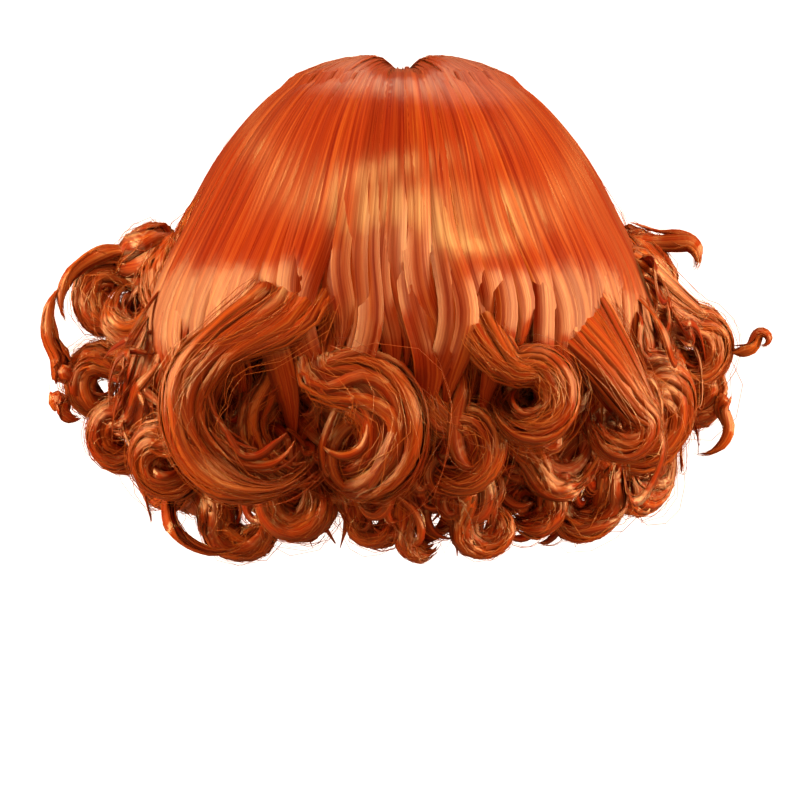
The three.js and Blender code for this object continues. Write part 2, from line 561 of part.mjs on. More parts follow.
Object.entries({ long: longLocks, short: shortLocks, wisp: wisps }).forEach(([kind, locks]) => {
  locks.forEach((lock) => {
    addPiece(lock.name, cutBack(lockSolid(lock, kind, 0)), finishes.hair);
    cutters.push(lockSolid(lock, kind, pieceGap));
  });
});
cutters.push(partingSlot);
addPiece("base_hair", cutBack(baseHairSolid()), finishes.baseHair);

export default wig;
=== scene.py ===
import math

import bpy
import numpy as np
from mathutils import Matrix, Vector


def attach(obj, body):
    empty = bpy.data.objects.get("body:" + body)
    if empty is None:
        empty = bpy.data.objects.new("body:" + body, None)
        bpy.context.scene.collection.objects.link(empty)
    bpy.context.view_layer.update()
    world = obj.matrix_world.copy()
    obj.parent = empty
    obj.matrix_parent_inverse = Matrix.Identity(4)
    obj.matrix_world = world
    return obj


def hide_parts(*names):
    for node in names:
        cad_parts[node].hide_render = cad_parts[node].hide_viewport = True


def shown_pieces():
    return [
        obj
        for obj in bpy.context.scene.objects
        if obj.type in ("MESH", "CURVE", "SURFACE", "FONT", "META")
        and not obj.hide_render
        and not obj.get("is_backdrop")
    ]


# A short curly wig, seen from behind. Lengths below are in millimetres, and every mesh is scaled to metres.
# +Z is up, and azimuth 0 is the middle of the back.
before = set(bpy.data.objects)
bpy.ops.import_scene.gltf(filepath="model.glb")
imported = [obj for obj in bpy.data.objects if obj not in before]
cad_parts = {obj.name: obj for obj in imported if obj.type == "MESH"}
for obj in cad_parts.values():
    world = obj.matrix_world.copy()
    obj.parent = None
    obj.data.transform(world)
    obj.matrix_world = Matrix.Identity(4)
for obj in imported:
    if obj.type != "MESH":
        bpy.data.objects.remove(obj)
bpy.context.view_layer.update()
millimetre = 0.001
print("frame loaded:", len(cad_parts), "nodes")

# The form that the cap fits, the cap and the hair's envelope, as in the solids.
head = {"halfWidth": 75, "halfDepth": 94, "height": 90}
cap = {"wall": 1.6, "bandWall": 2.2, "stripWall": 1.4, "gap": 0.4,
       "partingBack": -26, "partingFront": 72, "rootRise": 4.2, "rootOffset": 3.6}
hair = {"sideSpread": 91, "backSpread": 46, "frontSpread": 24, "topRise": 14, "fall": 148, "crownHalf": 5.6,
        "lockWidth": 44, "lockThickness": 14, "curlDepth": 19, "curlRadius": 30, "curlWind": 0.22,
        "curlCorner": 45, "stemStep": 0.07, "wispWidth": 5, "wispThickness": 3,
        "facetRoom": 2, "baseDepth": 30, "baseTopShare": 0.4, "baseTopDrop": 0.12}
hairLevels = {
    "drop": [0, 0.03, 0.07, 0.15, 0.23, 0.31, 0.4, 0.5, 0.6, 0.7, 0.8, 0.9, 1],
    "side": [0.1, 0.265, 0.345, 0.455, 0.54, 0.6, 0.665, 0.73, 0.77, 0.79, 0.76, 0.66, 0.52],
    "back": [0.16, 0.35, 0.5, 0.665, 0.76, 0.82, 0.85, 0.86, 0.88, 0.88, 0.84, 0.76, 0.64],
    "front": [0.2, 0.43, 0.6, 0.79, 0.92, 0.98, 1, 0.95, 0.92, 0.88, 0.8, 0.7, 0.56],
}
rimLevels = {
    "azimuth": [0, 45, 75, 95, 120, 145, 180],
    "capAngle": [128, 124, 108, 102, 92, 68, 60],
    "hairDrop": [0.95, 0.94, 0.88, 0.8, 0.62, 0.36, 0.25],
}
lockTaper = {  # 0 root, 1 start of the curl, 2 tip
    "at": [0, 0.12, 0.4, 0.8, 1, 1.25, 1.75, 2],
    "stem": [0.12, 0.42, 1, 0.95, 0.32, 0, 0, 0],
    "curl": [0, 0, 0, 0, 0.34, 1, 0.95, 0.3],
    "thick": [0.3, 0.62, 0.95, 1, 0.95, 1, 1, 0.4],
}
wispTaper = {"at": [0, 1, 2], "stem": [1.4, 1, 0.35], "curl": [0, 0, 0], "thick": [1, 1, 0.3]}

# Locks of hair. root is the place along the parting, stem rows are azimuth, drop and lift, and curl is the
# middle of the curl in the same terms. enter and turn are angles round it, clockwise from the right.
longLocks = [
    dict(name="lock_back_left_wave", root=0.04, wide=0.92, fat=0.58,
         stem=[[-28, 0.02, 0], [-28, 0.23, 0], [-23, 0.44, 0.5], [-24, 0.52, 1]],
         curl=[-28, 0.76, 1.2], face=-20, tilt=8, radius=1.43, enter=248, turn=-168, coil=0.3),
    dict(name="lock_back_middle", root=0.0, wide=0.85, fat=1.25,
         stem=[[-10, 0.02, 0], [-10, 0.23, 0], [-12, 0.4, 0], [-18, 0.55, 0]],
         curl=[-14, 0.776, 0.2], face=-10, tilt=6, radius=1.0, enter=256, turn=220, coil=0.8),
    dict(name="lock_back_right_ring", root=0.0, wide=0.7, fat=1.2,
         stem=[[17, 0.02, 0], [17, 0.23, 0], [16, 0.4, 0], [14, 0.52, 0.5]],
         curl=[25, 0.71, 0.8], face=14, tilt=0, radius=0.6, enter=240, turn=270, coil=0.4),
    dict(name="lock_right_inner", root=0.05, wide=0.95, fat=1.25,
         stem=[[34, 0.02, 0], [35, 0.23, 0], [36, 0.42, 0], [44, 0.58, 0.5]],
         curl=[48, 0.765, 1.2], face=32, tilt=4, radius=0.42, enter=300, turn=230, coil=0.5),
    dict(name="lock_right_big", root=0.1, wide=0.95, fat=1.3,
         stem=[[52, 0.02, 0], [54, 0.23, 0], [53, 0.42, 0], [53, 0.57, 0.2]],
         curl=[68, 0.75, 0.1], face=36, tilt=4, radius=0.72, enter=238, turn=265, coil=0.9),
    dict(name="lock_left_ring", root=0.1, wide=1.0, fat=1.28,
         stem=[[-50, 0.02, 0], [-50, 0.23, 0], [-45, 0.44, 0], [-47, 0.66, 0.4]],
         curl=[-62, 0.842, 0.8], face=-30, tilt=6, radius=0.47, enter=292, turn=-275, coil=0.6),
    dict(name="lock_back_right_middle", root=0.0, wide=0.6, fat=1.25,
         stem=[[4, 0.02, 0], [4, 0.23, 0], [2, 0.42, -0.3], [3, 0.64, -0.6]],
         curl=[12, 0.82, -0.2], face=8, tilt=6, radius=0.58, enter=250, turn=265, coil=0.7),
    dict(name="lock_left_far", root=0.2, wide=0.95, fat=1.28,
         stem=[[-71, 0.02, 0], [-70, 0.23, 0], [-64, 0.44, 0], [-70, 0.64, 0.2]],
         curl=[-88, 0.796, 1.0], face=-30, tilt=4, radius=0.44, enter=300, turn=-275, coil=0.5),
    dict(name="lock_right_far", root=0.22, wide=0.95, fat=1.3,
         stem=[[71, 0.02, 0], [71, 0.23, 0], [69, 0.44, 0]],
         curl=[88, 0.61, 1.2], face=30, tilt=0, radius=0.5, enter=262, turn=265, coil=0.5),
    dict(name="lock_left_puff", root=0.3, wide=0.95, fat=1.2,
         stem=[[-93, 0.02, 0], [-91, 0.23, 0], [-78, 0.4, 0.2]],
         curl=[-82, 0.51, 0.9], face=-14, tilt=0, radius=0.58, enter=325, turn=235, coil=0.5),
    dict(name="lock_right_puff", root=0.3, wide=0.95, fat=1.28,
         stem=[[93, 0.02, 0], [91, 0.23, 0], [86, 0.37, 0.1]],
         curl=[94, 0.505, 1.1], face=30, tilt=0, radius=0.46, enter=232, turn=-250, coil=0.4),
    dict(name="lock_left_temple", root=0.55, wide=1.3, fat=1.3,
         stem=[[-128, 0.02, 0], [-117, 0.23, 0], [-109, 0.44, 0]],
         curl=[-117, 0.6, 0.8], face=-112, tilt=0, radius=0.8, enter=320, turn=235, coil=0.6),
    dict(name="lock_right_temple", root=0.55, wide=1.3, fat=1.3,
         stem=[[128, 0.02, 0], [117, 0.23, 0], [109, 0.44, 0]],
         curl=[117, 0.6, 0.8], face=112, tilt=0, radius=0.8, enter=220, turn=-235, coil=0.6),
    dict(name="fringe_left", root=0.84, wide=1.35, fat=1.3,
         stem=[[-162, 0.04, 0], [-150, 0.19, 0], [-136, 0.36, 0]],
         curl=[-134, 0.5, 0.6], face=-134, tilt=0, radius=0.66, enter=240, turn=260, coil=0.6),
    dict(name="fringe_right", root=0.84, wide=1.35, fat=1.3,
         stem=[[162, 0.04, 0], [150, 0.19, 0], [136, 0.36, 0]],
         curl=[134, 0.5, 0.6], face=134, tilt=0, radius=0.66, enter=300, turn=-260, coil=0.6),
]
shortLocks = [
    dict(name="curl_back_left_inner", wide=0.6, fat=0.55,
         stem=[[-18, 0.56, -0.8], [-22, 0.63, -0.4]],
         curl=[-24, 0.785, -0.5], face=-18, tilt=8, radius=0.95, enter=245, turn=-135, coil=0),
    dict(name="curl_left_upper", wide=0.8, fat=1.3,
         stem=[[-86, 0.36, -0.6], [-84, 0.4, 0.5]],
         curl=[-94, 0.5, 1.6], face=-6, tilt=0, radius=0.5, enter=285, turn=-230, coil=-0.3),
    dict(name="curl_left_middle", wide=0.8, fat=1.3,
         stem=[[-88, 0.57, -0.6], [-90, 0.6, 0.4]],
         curl=[-92, 0.68, 1.4], face=-10, tilt=0, radius=0.46, enter=300, turn=-250, coil=0.3),
    dict(name="curl_right_middle", wide=0.8, fat=1.3,
         stem=[[78, 0.62, -0.8], [80, 0.66, 0]],
         curl=[92, 0.7, 0.9], face=20, tilt=0, radius=0.46, enter=245, turn=255, coil=0.3),
    dict(name="curl_right_under", wide=0.6, fat=0.8,
         stem=[[26, 0.72, -1], [31, 0.77, -0.7]],
         curl=[43, 0.83, -0.3], face=26, tilt=8, radius=0.6, enter=180, turn=-130, coil=0),
    dict(name="curl_nape_hook", wide=0.4, fat=0.9,
         stem=[[-2, 0.86, -1], [0, 0.91, -0.8]],
         curl=[8, 0.985, -0.3], face=4, tilt=12, radius=0.4, enter=200, turn=-130, coil=0),
    dict(name="curl_nape_ring", wide=0.4, fat=1.15,
         stem=[[14, 0.85, -1], [17, 0.9, -0.6]],
         curl=[25, 0.965, 0], face=12, tilt=12, radius=0.4, enter=200, turn=-270, coil=0.2),
    dict(name="curl_nape_left", wide=0.5, fat=1.2,
         stem=[[-30, 0.8, -1], [-34, 0.85, -0.8]],
         curl=[-30, 0.915, -0.4], face=-18, tilt=12, radius=0.5, enter=200, turn=-240, coil=0.2),
    dict(name="curl_nape_small", wide=0.4, fat=1.2,
         stem=[[-15, 0.84, -1], [-14, 0.9, -1]],
         curl=[-9, 0.955, -0.8], face=-4, tilt=12, radius=0.32, enter=190, turn=-220, coil=0),
    dict(name="curl_nape_right", wide=0.5, fat=1.0,
         stem=[[36, 0.82, -1], [43, 0.86, -0.8]],
         curl=[38, 0.925, -0.4], face=16, tilt=12, radius=0.48, enter=325, turn=150, coil=0),
    dict(name="curl_nape_right_outer", wide=0.6, fat=1.15,
         stem=[[58, 0.78, -1], [66, 0.83, -0.7]],
         curl=[58, 0.915, -0.2], face=26, tilt=10, radius=0.56, enter=325, turn=190, coil=0.2),
    dict(name="curl_nape_left_outer", wide=0.6, fat=1.25,
         stem=[[-56, 0.8, -1], [-64, 0.86, -0.8]],
         curl=[-55, 0.95, -0.2], face=-24, tilt=10, radius=0.54, enter=200, turn=-200, coil=0.1),
    dict(name="curl_left_low", wide=0.7, fat=1.3,
         stem=[[-92, 0.66, -0.8], [-96, 0.72, -0.3]],
         curl=[-100, 0.85, 0.2], face=-60, tilt=6, radius=0.52, enter=190, turn=-230, coil=0.2),
    dict(name="curl_right_low", wide=0.7, fat=1.3,
         stem=[[86, 0.7, -0.8], [90, 0.76, -0.3]],
         curl=[88, 0.86, 0.2], face=50, tilt=6, radius=0.52, enter=340, turn=230, coil=0.2),
    dict(name="curl_left_ear", wide=0.8, fat=1.3,
         stem=[[-117, 0.66, -0.8], [-123, 0.72, -0.5]],
         curl=[-115, 0.83, 0], face=-110, tilt=4, radius=0.68, enter=185, turn=-225, coil=0.4),
    dict(name="curl_right_ear", wide=0.8, fat=1.3,
         stem=[[117, 0.66, -0.8], [123, 0.72, -0.5]],
         curl=[115, 0.83, 0], face=110, tilt=4, radius=0.68, enter=355, turn=225, coil=0.4),
    dict(name="curl_left_cheek", wide=0.7, fat=1.3,
         stem=[[-131, 0.48, -0.8], [-143, 0.61, -0.5]],
         curl=[-135, 0.73, 0.2], face=-132, tilt=4, radius=0.62, enter=185, turn=-225, coil=0.4),
    dict(name="curl_right_cheek", wide=0.7, fat=1.3,
         stem=[[131, 0.48, -0.8], [143, 0.61, -0.5]],
         curl=[135, 0.73, 0.2], face=132, tilt=4, radius=0.62, enter=355, turn=225, coil=0.4),
]
wisps = [
    dict(name="wisp_left_fan", wide=1.2,
         stem=[[-90, 0.68, 2.75], [-90, 0.65, 2.8]],
         curl=[-90, 0.52, 1.95], face=0, tilt=0, radius=1.04, enter=130, turn=70, coil=0),
    dict(name="wisp_left_loop", wide=1.0,
         stem=[[-90, 0.7, 2.7], [-90, 0.71, 2.85]],
         curl=[-90, 0.725, 2.35], face=0, tilt=0, radius=0.25, enter=180, turn=-100, coil=0),
    dict(name="wisp_left_top", wide=1.0,
         stem=[[-88, 0.42, 1.6], [-90, 0.41, 2.0]],
         curl=[-90, 0.52, 1.9], face=0, tilt=0, radius=0.88, enter=262, turn=-90, coil=0),
    dict(name="wisp_right_flick", wide=1.2,
         stem=[[86, 0.36, 0.5], [90, 0.378, 1.4]],
         curl=[90, 0.42, 1.9], face=0, tilt=0, radius=0.36, enter=262, turn=120, coil=0),
    dict(name="wisp_right_loop", wide=0.6,
         stem=[[90, 0.607, 2.6], [90, 0.6, 3.3]],
         curl=[90, 0.586, 3.8], face=0, tilt=0, radius=0.12, enter=225, turn=210, coil=0),
    dict(name="wisp_right_low", wide=0.8,
         stem=[[90, 0.7, 2.2], [90, 0.72, 2.2]],
         curl=[90, 0.775, 1.5], face=0, tilt=0, radius=0.53, enter=318, turn=125, coil=0),
    dict(name="wisp_left_bottom", wide=1.0,
         stem=[[-84, 0.88, 0.4], [-80, 0.9, 0.5]],
         curl=[-52, 0.925, 0.3], face=-10, tilt=0, radius=0.97, enter=158, turn=-75, coil=0),
]


# Reads a column of a table between its rows.
def readTable(table, key, at, column):
    return np.interp(at, table[key], table[column])


# The drop at which the base hair ends, at an azimuth within half a turn of the back.
def rimDrop(azimuth):
    return readTable(rimLevels, "azimuth", np.abs(azimuth), "hairDrop")


# Vectors brought to length one.
def unit(vectors):
    return vectors / np.maximum(np.linalg.norm(vectors, axis=-1, keepdims=True), 1e-9)


# A step from 0 to 1 between two values, level at both.
def smooth(low, high, value):
    share = np.clip((value - low) / (high - low), 0, 1)
    return share * share * (3 - 2 * share)


# The way out of the hair: from the middle of the cap's widest level above it, and level below it.
def hairNormal(points):
    out = points.copy()
    out[..., 2] = np.maximum(0, points[..., 2] + head["height"])
    return unit(out)


# A point on the outer hair: an ellipse at each level, read from the level table, lifted along its normal.
def onHair(azimuth, drop, lift):
    a = np.radians(azimuth)
    behind = np.cos(a) > 0
    back = readTable(hairLevels, "drop", drop, "back") * (head["halfDepth"] + hair["backSpread"])
    front = readTable(hairLevels, "drop", drop, "front") * (head["halfDepth"] + hair["frontSpread"])
    side = readTable(hairLevels, "drop", drop, "side") * (head["halfWidth"] + hair["sideSpread"])
    height = hair["topRise"] + head["height"] + hair["fall"] - hair["lockThickness"]
    top = hair["topRise"] - hair["crownHalf"]
    x = side * np.sin(a)
    y = -np.where(behind, back, front) * np.cos(a)
    z = top - drop * height + 0 * x
    points = np.stack([x, y, z], axis=-1)
    return points + hairNormal(points) * np.asarray(lift)[..., None]


# A point on the form that the cap fits, an ellipsoid grown outwards.
def onHead(azimuth, fromTop, grow):
    a, t = np.radians(azimuth), np.radians(fromTop)
    x = (head["halfWidth"] + grow) * np.sin(t) * np.sin(a)
    y = -(head["halfDepth"] + grow) * np.sin(t) * np.cos(a)
    z = (head["height"] + grow) * np.cos(t) - head["height"] + 0 * x
    return np.stack([x, y, z], axis=-1)


# The height of that form at its middle line, so far back.
def headTopAt(y, grow):
    return (head["height"] + grow) * np.sqrt(1 - (y / (head["halfDepth"] + grow)) ** 2) - head["height"]


# The way that an azimuth faces, tilted down.
def facing(azimuth, tilt):
    a, t = math.radians(azimuth), math.radians(tilt)
    return np.array([math.sin(a) * math.cos(t), -math.cos(a) * math.cos(t), -math.sin(t)])


# How deep the base hair lies under the envelope: half a lock and some room, less near the top, and deeper
# with the cube of the drop.
def baseInset(drop):
    lockThickness = hair["lockThickness"] + (hair["curlDepth"] - hair["lockThickness"]) * drop
    ease = hair["baseTopShare"] + (1 - hair["baseTopShare"]) * np.minimum(1, drop / hair["baseTopDrop"])
    return (lockThickness / 2 + hair["facetRoom"]) * ease + hair["baseDepth"] * drop ** 3


# A smooth curve through corners: for each span the cubic that meets its neighbours' slopes, with knots
# spaced by the root of the chord's length.
def curveThrough(corners, perSpan):
    corners = np.asarray(corners, float)
    ends = np.vstack([2 * corners[0] - corners[1], corners, 2 * corners[-1] - corners[-2]])
    p0, p1, p2, p3 = ends[:-3], ends[1:-2], ends[2:-1], ends[3:]
    gap0, gap1, gap2 = (np.sqrt(np.linalg.norm(b - a, axis=1))[:, None] + 1e-6
                        for a, b in ((p0, p1), (p1, p2), (p2, p3)))
    slope1 = ((p1 - p0) / gap0 - (p2 - p0) / (gap0 + gap1) + (p2 - p1) / gap1) * gap1
    slope2 = ((p2 - p1) / gap1 - (p3 - p1) / (gap1 + gap2) + (p3 - p2) / gap2) * gap1
    w = (np.arange(perSpan) / perSpan)[None, :, None]
    p1, p2, slope1, slope2 = (value[:, None, :] for value in (p1, p2, slope1, slope2))
    spans = (p1 + slope1 * w + (3 * p2 - 3 * p1 - 2 * slope1 - slope2) * w ** 2
             + (2 * p1 - 2 * p2 + slope1 + slope2) * w ** 3)
    return np.vstack([spans.reshape(-1, 3), corners[-1]])


# The route of a lock, sampled from its root (0) over the start of its curl (1) to past its tip (2): its
# middle, the ways out and across, and half its width and thickness. The curl is a circle that winds in,
# laid in the plane it faces.
def lockRoute(lock, samples=260, beyond=0.3):
    isWisp = lock["name"].startswith("wisp")
    rows = np.array(lock["stem"], float)
    drops, thickness = rows[:, 1], hair["lockThickness"]
    points, normals = [], []
    if "root" in lock:
        y = cap["partingBack"] + (cap["partingFront"] - cap["partingBack"]) * lock["root"]
        side = math.copysign(1, rows[0, 0])
        rise = cap["wall"] + cap["stripWall"] + cap["rootRise"]
        points.append([side * cap["rootOffset"], y, headTopAt(y, rise)])
    elif not isWisp:
        start = drops[0] - hair["stemStep"] / 2
        points.append(onHair(rows[0, 0], start, -baseInset(drops[0])))
    steps = max(1, round((drops[-1] - drops[0]) / hair["stemStep"]))
    if drops[0] < drops[-1]:
        at = np.linspace(drops[0], drops[-1], steps + 1)
        azimuths, lifts = np.interp(at, drops, rows[:, 0]), np.interp(at, drops, rows[:, 2])
    else:
        azimuths, at, lifts = rows[:steps + 1].T
    points.extend(onHair(azimuths, at, lifts * thickness))
    out, right = facing(lock["face"], lock["tilt"]), facing(lock["face"] + 90, 0)
    stemCorners = len(points)
    normals.extend(np.repeat(out[None], stemCorners, axis=0) if isWisp else hairNormal(np.array(points)))
    azimuth, drop, lift = lock["curl"]
    centre = onHair(azimuth, drop, lift * thickness)
    down = -np.cross(out, right)
    curlSteps = max(3, round(abs(lock["turn"]) / hair["curlCorner"]))
    extra = math.ceil(curlSteps * beyond)
    share = (np.arange(curlSteps + extra + 1) / curlSteps)[:, None]
    angle = np.radians(lock["enter"] + lock["turn"] * share)
    reach = lock["radius"] * hair["curlRadius"] * (1 - hair["curlWind"] * share)
    coil = lock["coil"] * hair["curlRadius"] * share ** 2
    points.extend(centre + reach * (np.cos(angle) * right + np.sin(angle) * down) - coil * out)
    normals.extend(np.repeat(out[None], len(share), axis=0))
    perSpan = 24
    path, outward = curveThrough(points, perSpan), curveThrough(normals, perSpan)
    length = np.concatenate([[0], np.cumsum(np.linalg.norm(np.diff(path, axis=0), axis=1))])
    tip = length[(stemCorners + curlSteps) * perSpan]
    chords = np.linalg.norm(np.diff(np.array(points)[:stemCorners + curlSteps + 1], axis=0), axis=1)
    stemShare = chords[:stemCorners].sum() / chords.sum()
    at = np.linspace(0, 2 + beyond, samples)
    reached = np.where(at < 1, at * stemShare, stemShare + (1 - stemShare) * (at - 1)) * tip
    reached = np.minimum(reached, length[-1])
    middle = np.stack([np.interp(reached, length, path[:, i]) for i in range(3)], axis=1)
    outward = np.stack([np.interp(reached, length, outward[:, i]) for i in range(3)], axis=1)
    ahead = unit(np.gradient(middle, axis=0))
    outward = unit(outward - ahead * np.sum(outward * ahead, axis=1, keepdims=True))
    across = np.cross(outward, ahead)
    taper = wispTaper if isWisp else lockTaper
    width = hair["wispWidth"] if isWisp else hair["lockWidth"]
    curlReach = lock["radius"] * hair["curlRadius"] * (1 - hair["curlWind"] * np.maximum(0, at - 1))
    inCurl = readTable(taper, "at", at, "curl") * lock.get("fat", 0) * curlReach
    halfWidth = (readTable(taper, "at", at, "stem") * lock["wide"] * width + inCurl) / 2
    if isWisp:
        full = hair["wispThickness"] + 0 * at
    else:
        full = thickness + (hair["curlDepth"] - thickness) * np.clip(at - 0.5, 0, 1)
    halfThick = readTable(taper, "at", at, "thick") * full / 2
    return {"at": at, "middle": middle, "out": outward, "across": across, "halfWidth": halfWidth,
            "halfThick": halfThick, "centre": centre, "atParting": "root" in lock}


# Values of a route's column at any places along it.
def alongRoute(route, column, at):
    values = route[column]
    if values.ndim == 1:
        return np.interp(at, route["at"], values)
    return np.stack([np.interp(at, route["at"], values[:, i]) for i in range(3)], axis=-1)


# Makes a mesh object from tubes: their points in millimetres, quads, end faces, tints and UVs.
def addMesh(name, tubes, materials):
    base = np.cumsum([0] + [len(tube["points"]) for tube in tubes[:-1]])
    corners = np.concatenate([tube["quads"].ravel() + start for tube, start in zip(tubes, base)]
                             + [tube["ends"].ravel() + start for tube, start in zip(tubes, base)])
    quadCount = sum(len(tube["quads"]) for tube in tubes)
    endCount = sum(len(tube["ends"]) for tube in tubes)
    starts = np.concatenate([np.arange(quadCount) * 4, quadCount * 4 + np.arange(endCount) * 3])
    kinds = np.concatenate([np.full(len(tube["quads"]), tube["finish"]) for tube in tubes]
                           + [np.full(len(tube["ends"]), tube["finish"]) for tube in tubes])
    uv = np.concatenate([tube["quadUv"].reshape(-1, 2) for tube in tubes]
                        + [tube["endUv"].reshape(-1, 2) for tube in tubes])
    points = np.vstack([tube["points"] for tube in tubes])
    mesh = bpy.data.meshes.new(name)
    mesh.vertices.add(len(points))
    mesh.vertices.foreach_set("co", (points * millimetre).astype(np.float32).ravel())
    mesh.loops.add(len(corners))
    mesh.loops.foreach_set("vertex_index", corners.astype(np.int32))
    mesh.polygons.add(len(starts))
    mesh.polygons.foreach_set("loop_start", starts.astype(np.int32))
    mesh.update(calc_edges=True)
    tints = np.concatenate([tube["tints"] for tube in tubes])
    mesh.attributes.new("tint", "FLOAT", "POINT").data.foreach_set("value", tints.astype(np.float32))
    mesh.uv_layers.new(name="strands").data.foreach_set("uv", uv.astype(np.float32).ravel())
    mesh.polygons.foreach_set("use_smooth", np.ones(len(starts), bool))
    for material in materials:
        mesh.materials.append(material)
    mesh.polygons.foreach_set("material_index", kinds.astype(np.int32))
    piece = bpy.data.objects.new(name, mesh)
    bpy.context.scene.collection.objects.link(piece)
    return piece


# Faces of closed tubes whose rings lie one after another: quads between the rings, and a fan at each end.
def tubeFaces(count, steps, sides):
    row = (np.arange(count)[:, None, None] * steps + np.arange(steps - 1)[None, :, None]) * sides
    side = np.arange(sides)[None, None]
    beside = (side + 1) % sides
    quads = np.stack([row + side, row + beside, row + beside + sides, row + side + sides], axis=-1)
    fan = np.arange(1, sides - 1)
    lowest = np.arange(count)[:, None] * steps * sides
    highest = lowest + (steps - 1) * sides
    first = np.stack([lowest + 0 * fan, lowest + fan + 1, lowest + fan], axis=-1)
    last = np.stack([highest + 0 * fan, highest + fan, highest + fan + 1], axis=-1)
    return quads.reshape(-1, 4), np.concatenate([first.reshape(-1, 3), last.reshape(-1, 3)])


# The UV of each quad's corners, from where it starts and ends round the tube and along it.
def quadCorners(u0, u1, v0, v1):
    corners = [np.stack(pair, axis=-1) for pair in ((u0, v0), (u1, v0), (u1, v1), (u0, v1))]
    return np.stack(corners, axis=-2).reshape(-1, 4, 2)


# Closed tubes along many paths at once: a section of a few sides, an ellipse of the given half width and
# half thickness with ridges that drift round it, is carried along each path and closed at both ends.
# middles and outs are tube by step by three. The UV runs round the tube in centimetres and along it in
# tenths of a metre.
def makeTubes(middles, outs, widths, thicks, tints, finish, sides=3, ridges=0.0, phases=None):
    count, steps, _ = middles.shape
    ahead = unit(np.gradient(middles, axis=1))
    across = unit(np.cross(outs, ahead))
    outs = np.cross(ahead, across)
    turn = np.arange(sides) / sides * 2 * math.pi - math.pi / 2
    scale = np.ones((count, steps, sides))
    if ridges:
        run = np.linspace(0, 1, steps)[None, :, None]
        phase = phases[:, None, None]
        scale += ridges * (np.cos(5 * turn + phase + 3 * run) + 0.7 * np.cos(8 * turn + 2 * phase - 5 * run)
                           + 0.5 * np.cos(3 * turn + 3 * phase + 2 * run)) / 2
    ring = (across[:, :, None] * (widths[..., None] * np.cos(turn) * scale)[..., None]
            + outs[:, :, None] * (thicks[..., None] * np.sin(turn) * scale)[..., None])
    quads, ends = tubeFaces(count, steps, sides)
    girth = (2.5 * (widths.max(axis=1) + thicks.max(axis=1)) / 10)[:, None, None]
    legs = np.linalg.norm(np.diff(middles, axis=1, prepend=middles[:, :1]), axis=2)
    along = np.cumsum(legs, axis=1)[:, :, None] / 100
    side = np.arange(sides)[None, None]
    u0, u1 = (girth * share / sides + 0 * along[:, :-1] for share in (side, side + 1))
    v0, v1 = (value + 0 * u0 for value in (along[:, :-1], along[:, 1:]))
    return {"points": (middles[:, :, None] + ring).reshape(-1, 3), "quads": quads, "ends": ends,
            "quadUv": quadCorners(u0, u1, v0, v1), "endUv": np.zeros((len(ends), 3, 2)),
            "tints": np.repeat((tints + np.zeros((count, steps))).reshape(-1), sides), "finish": finish}


# A gentle wander along each strand: sine waves of chosen number with random phase and height.
def wander(rng, at, waves, height):
    total = 0
    for wave in waves:
        phase = rng.uniform(0, 2 * math.pi, at.shape[:-1] + (1,))
        size = rng.normal(0, 1, at.shape[:-1] + (1,))
        total = total + size * np.sin(2 * math.pi * wave * at + phase)
    return total * height / len(waves)


# Slimmer ends for a tube.
def endTaper(steps, least=0.3, reach=9):
    share = np.linspace(0, 1, steps)
    return least + (1 - least) * np.minimum(1, np.minimum(share, 1 - share) * reach)


lockStyle = {
    "long": dict(ribbons=22, rows=34, start=0.38, hairs=56, steps=20, nested=18, nestedHairs=30),
    "short": dict(ribbons=15, rows=22, start=0.05, hairs=34, steps=15, nested=15, nestedHairs=24),
    "wisp": dict(ribbons=3, rows=18, start=0.0, hairs=22, steps=18, nested=0, nestedHairs=0),
    "core": 0.9, "wispCore": 0.6,  # size of the core under the ribbons, as a share of the lock
    # the core's tint of 0.12 keeps it near the darkest shade: painted shade where it shows between the
    # ribbons
    "coreSides": 10, "coreRows": 34, "coreEnd": 1.9, "coreShadeTint": 0.12, "coreRidges": 0.04,
    "ribbonSides": 4, "ribbonEnd": (1.85, 2.12), "ribbonTint": (0.42, 0.7),
    "ribbonThick": (0.5, 0.95),  # half the thickness of a ribbon
    "overlap": 1.5,  # width of a ribbon as a share of its room on the lock
    "twist": (50, 130),  # degrees that the ribbons turn round the lock
    "rise": (0.93, 1.05),  # how far out ribbons lie, as a share of the lock
    "hairWidth": 0.16,  # half the width of a hair
    "hairRise": (1.02, 1.22), "stray": 0.2, "strayRise": (0, 0.9), "hairTint": (0.7, 0.25),
    "hidden": 0.75, "hiddenUntil": (0.64, 1.05),  # how much thinner under the crown
    "last": 2.28,  # past the tip at 2, as far as a hair may run
    "nestedRows": 20, "nestedStart": (1.0, 1.45), "nestedRun": (0.5, 0.95), "nestedLean": (-0.9, 0.9),
    "nestedScale": (0.42, 1.22), "nestedWide": (0.9, 2.6), "nestedThick": (0.45, 0.8), "nestedShift": 7.0,
    "nestedTint": (0.25, 0.6), "nestedHairTint": (0.6, 0.2),
}


# Locks that start at the parting are thinner while the crown's hair lies over them.
def lowUnderCrown(route, at):
    hidden = lockStyle["hidden"] * (1 - smooth(*lockStyle["hiddenUntil"], at))
    return 1 - hidden if route["atParting"] else 1.0


# A place on the skin of a lock: turn is the angle round its section, and reach a share of its half size.
def onLock(route, at, turn, reach):
    width = alongRoute(route, "halfWidth", at)
    thick = alongRoute(route, "halfThick", at) * lowUnderCrown(route, at)
    across, out = alongRoute(route, "across", at), alongRoute(route, "out", at)
    spot = (alongRoute(route, "middle", at) + across * (reach * width * np.cos(turn))[..., None]
            + out * (reach * thick * np.sin(turn))[..., None])
    normal = unit(across * (np.cos(turn) * thick)[..., None] + out * (np.sin(turn) * width)[..., None])
    room = np.hypot(width * np.sin(turn), thick * np.cos(turn))
    return spot, normal, room
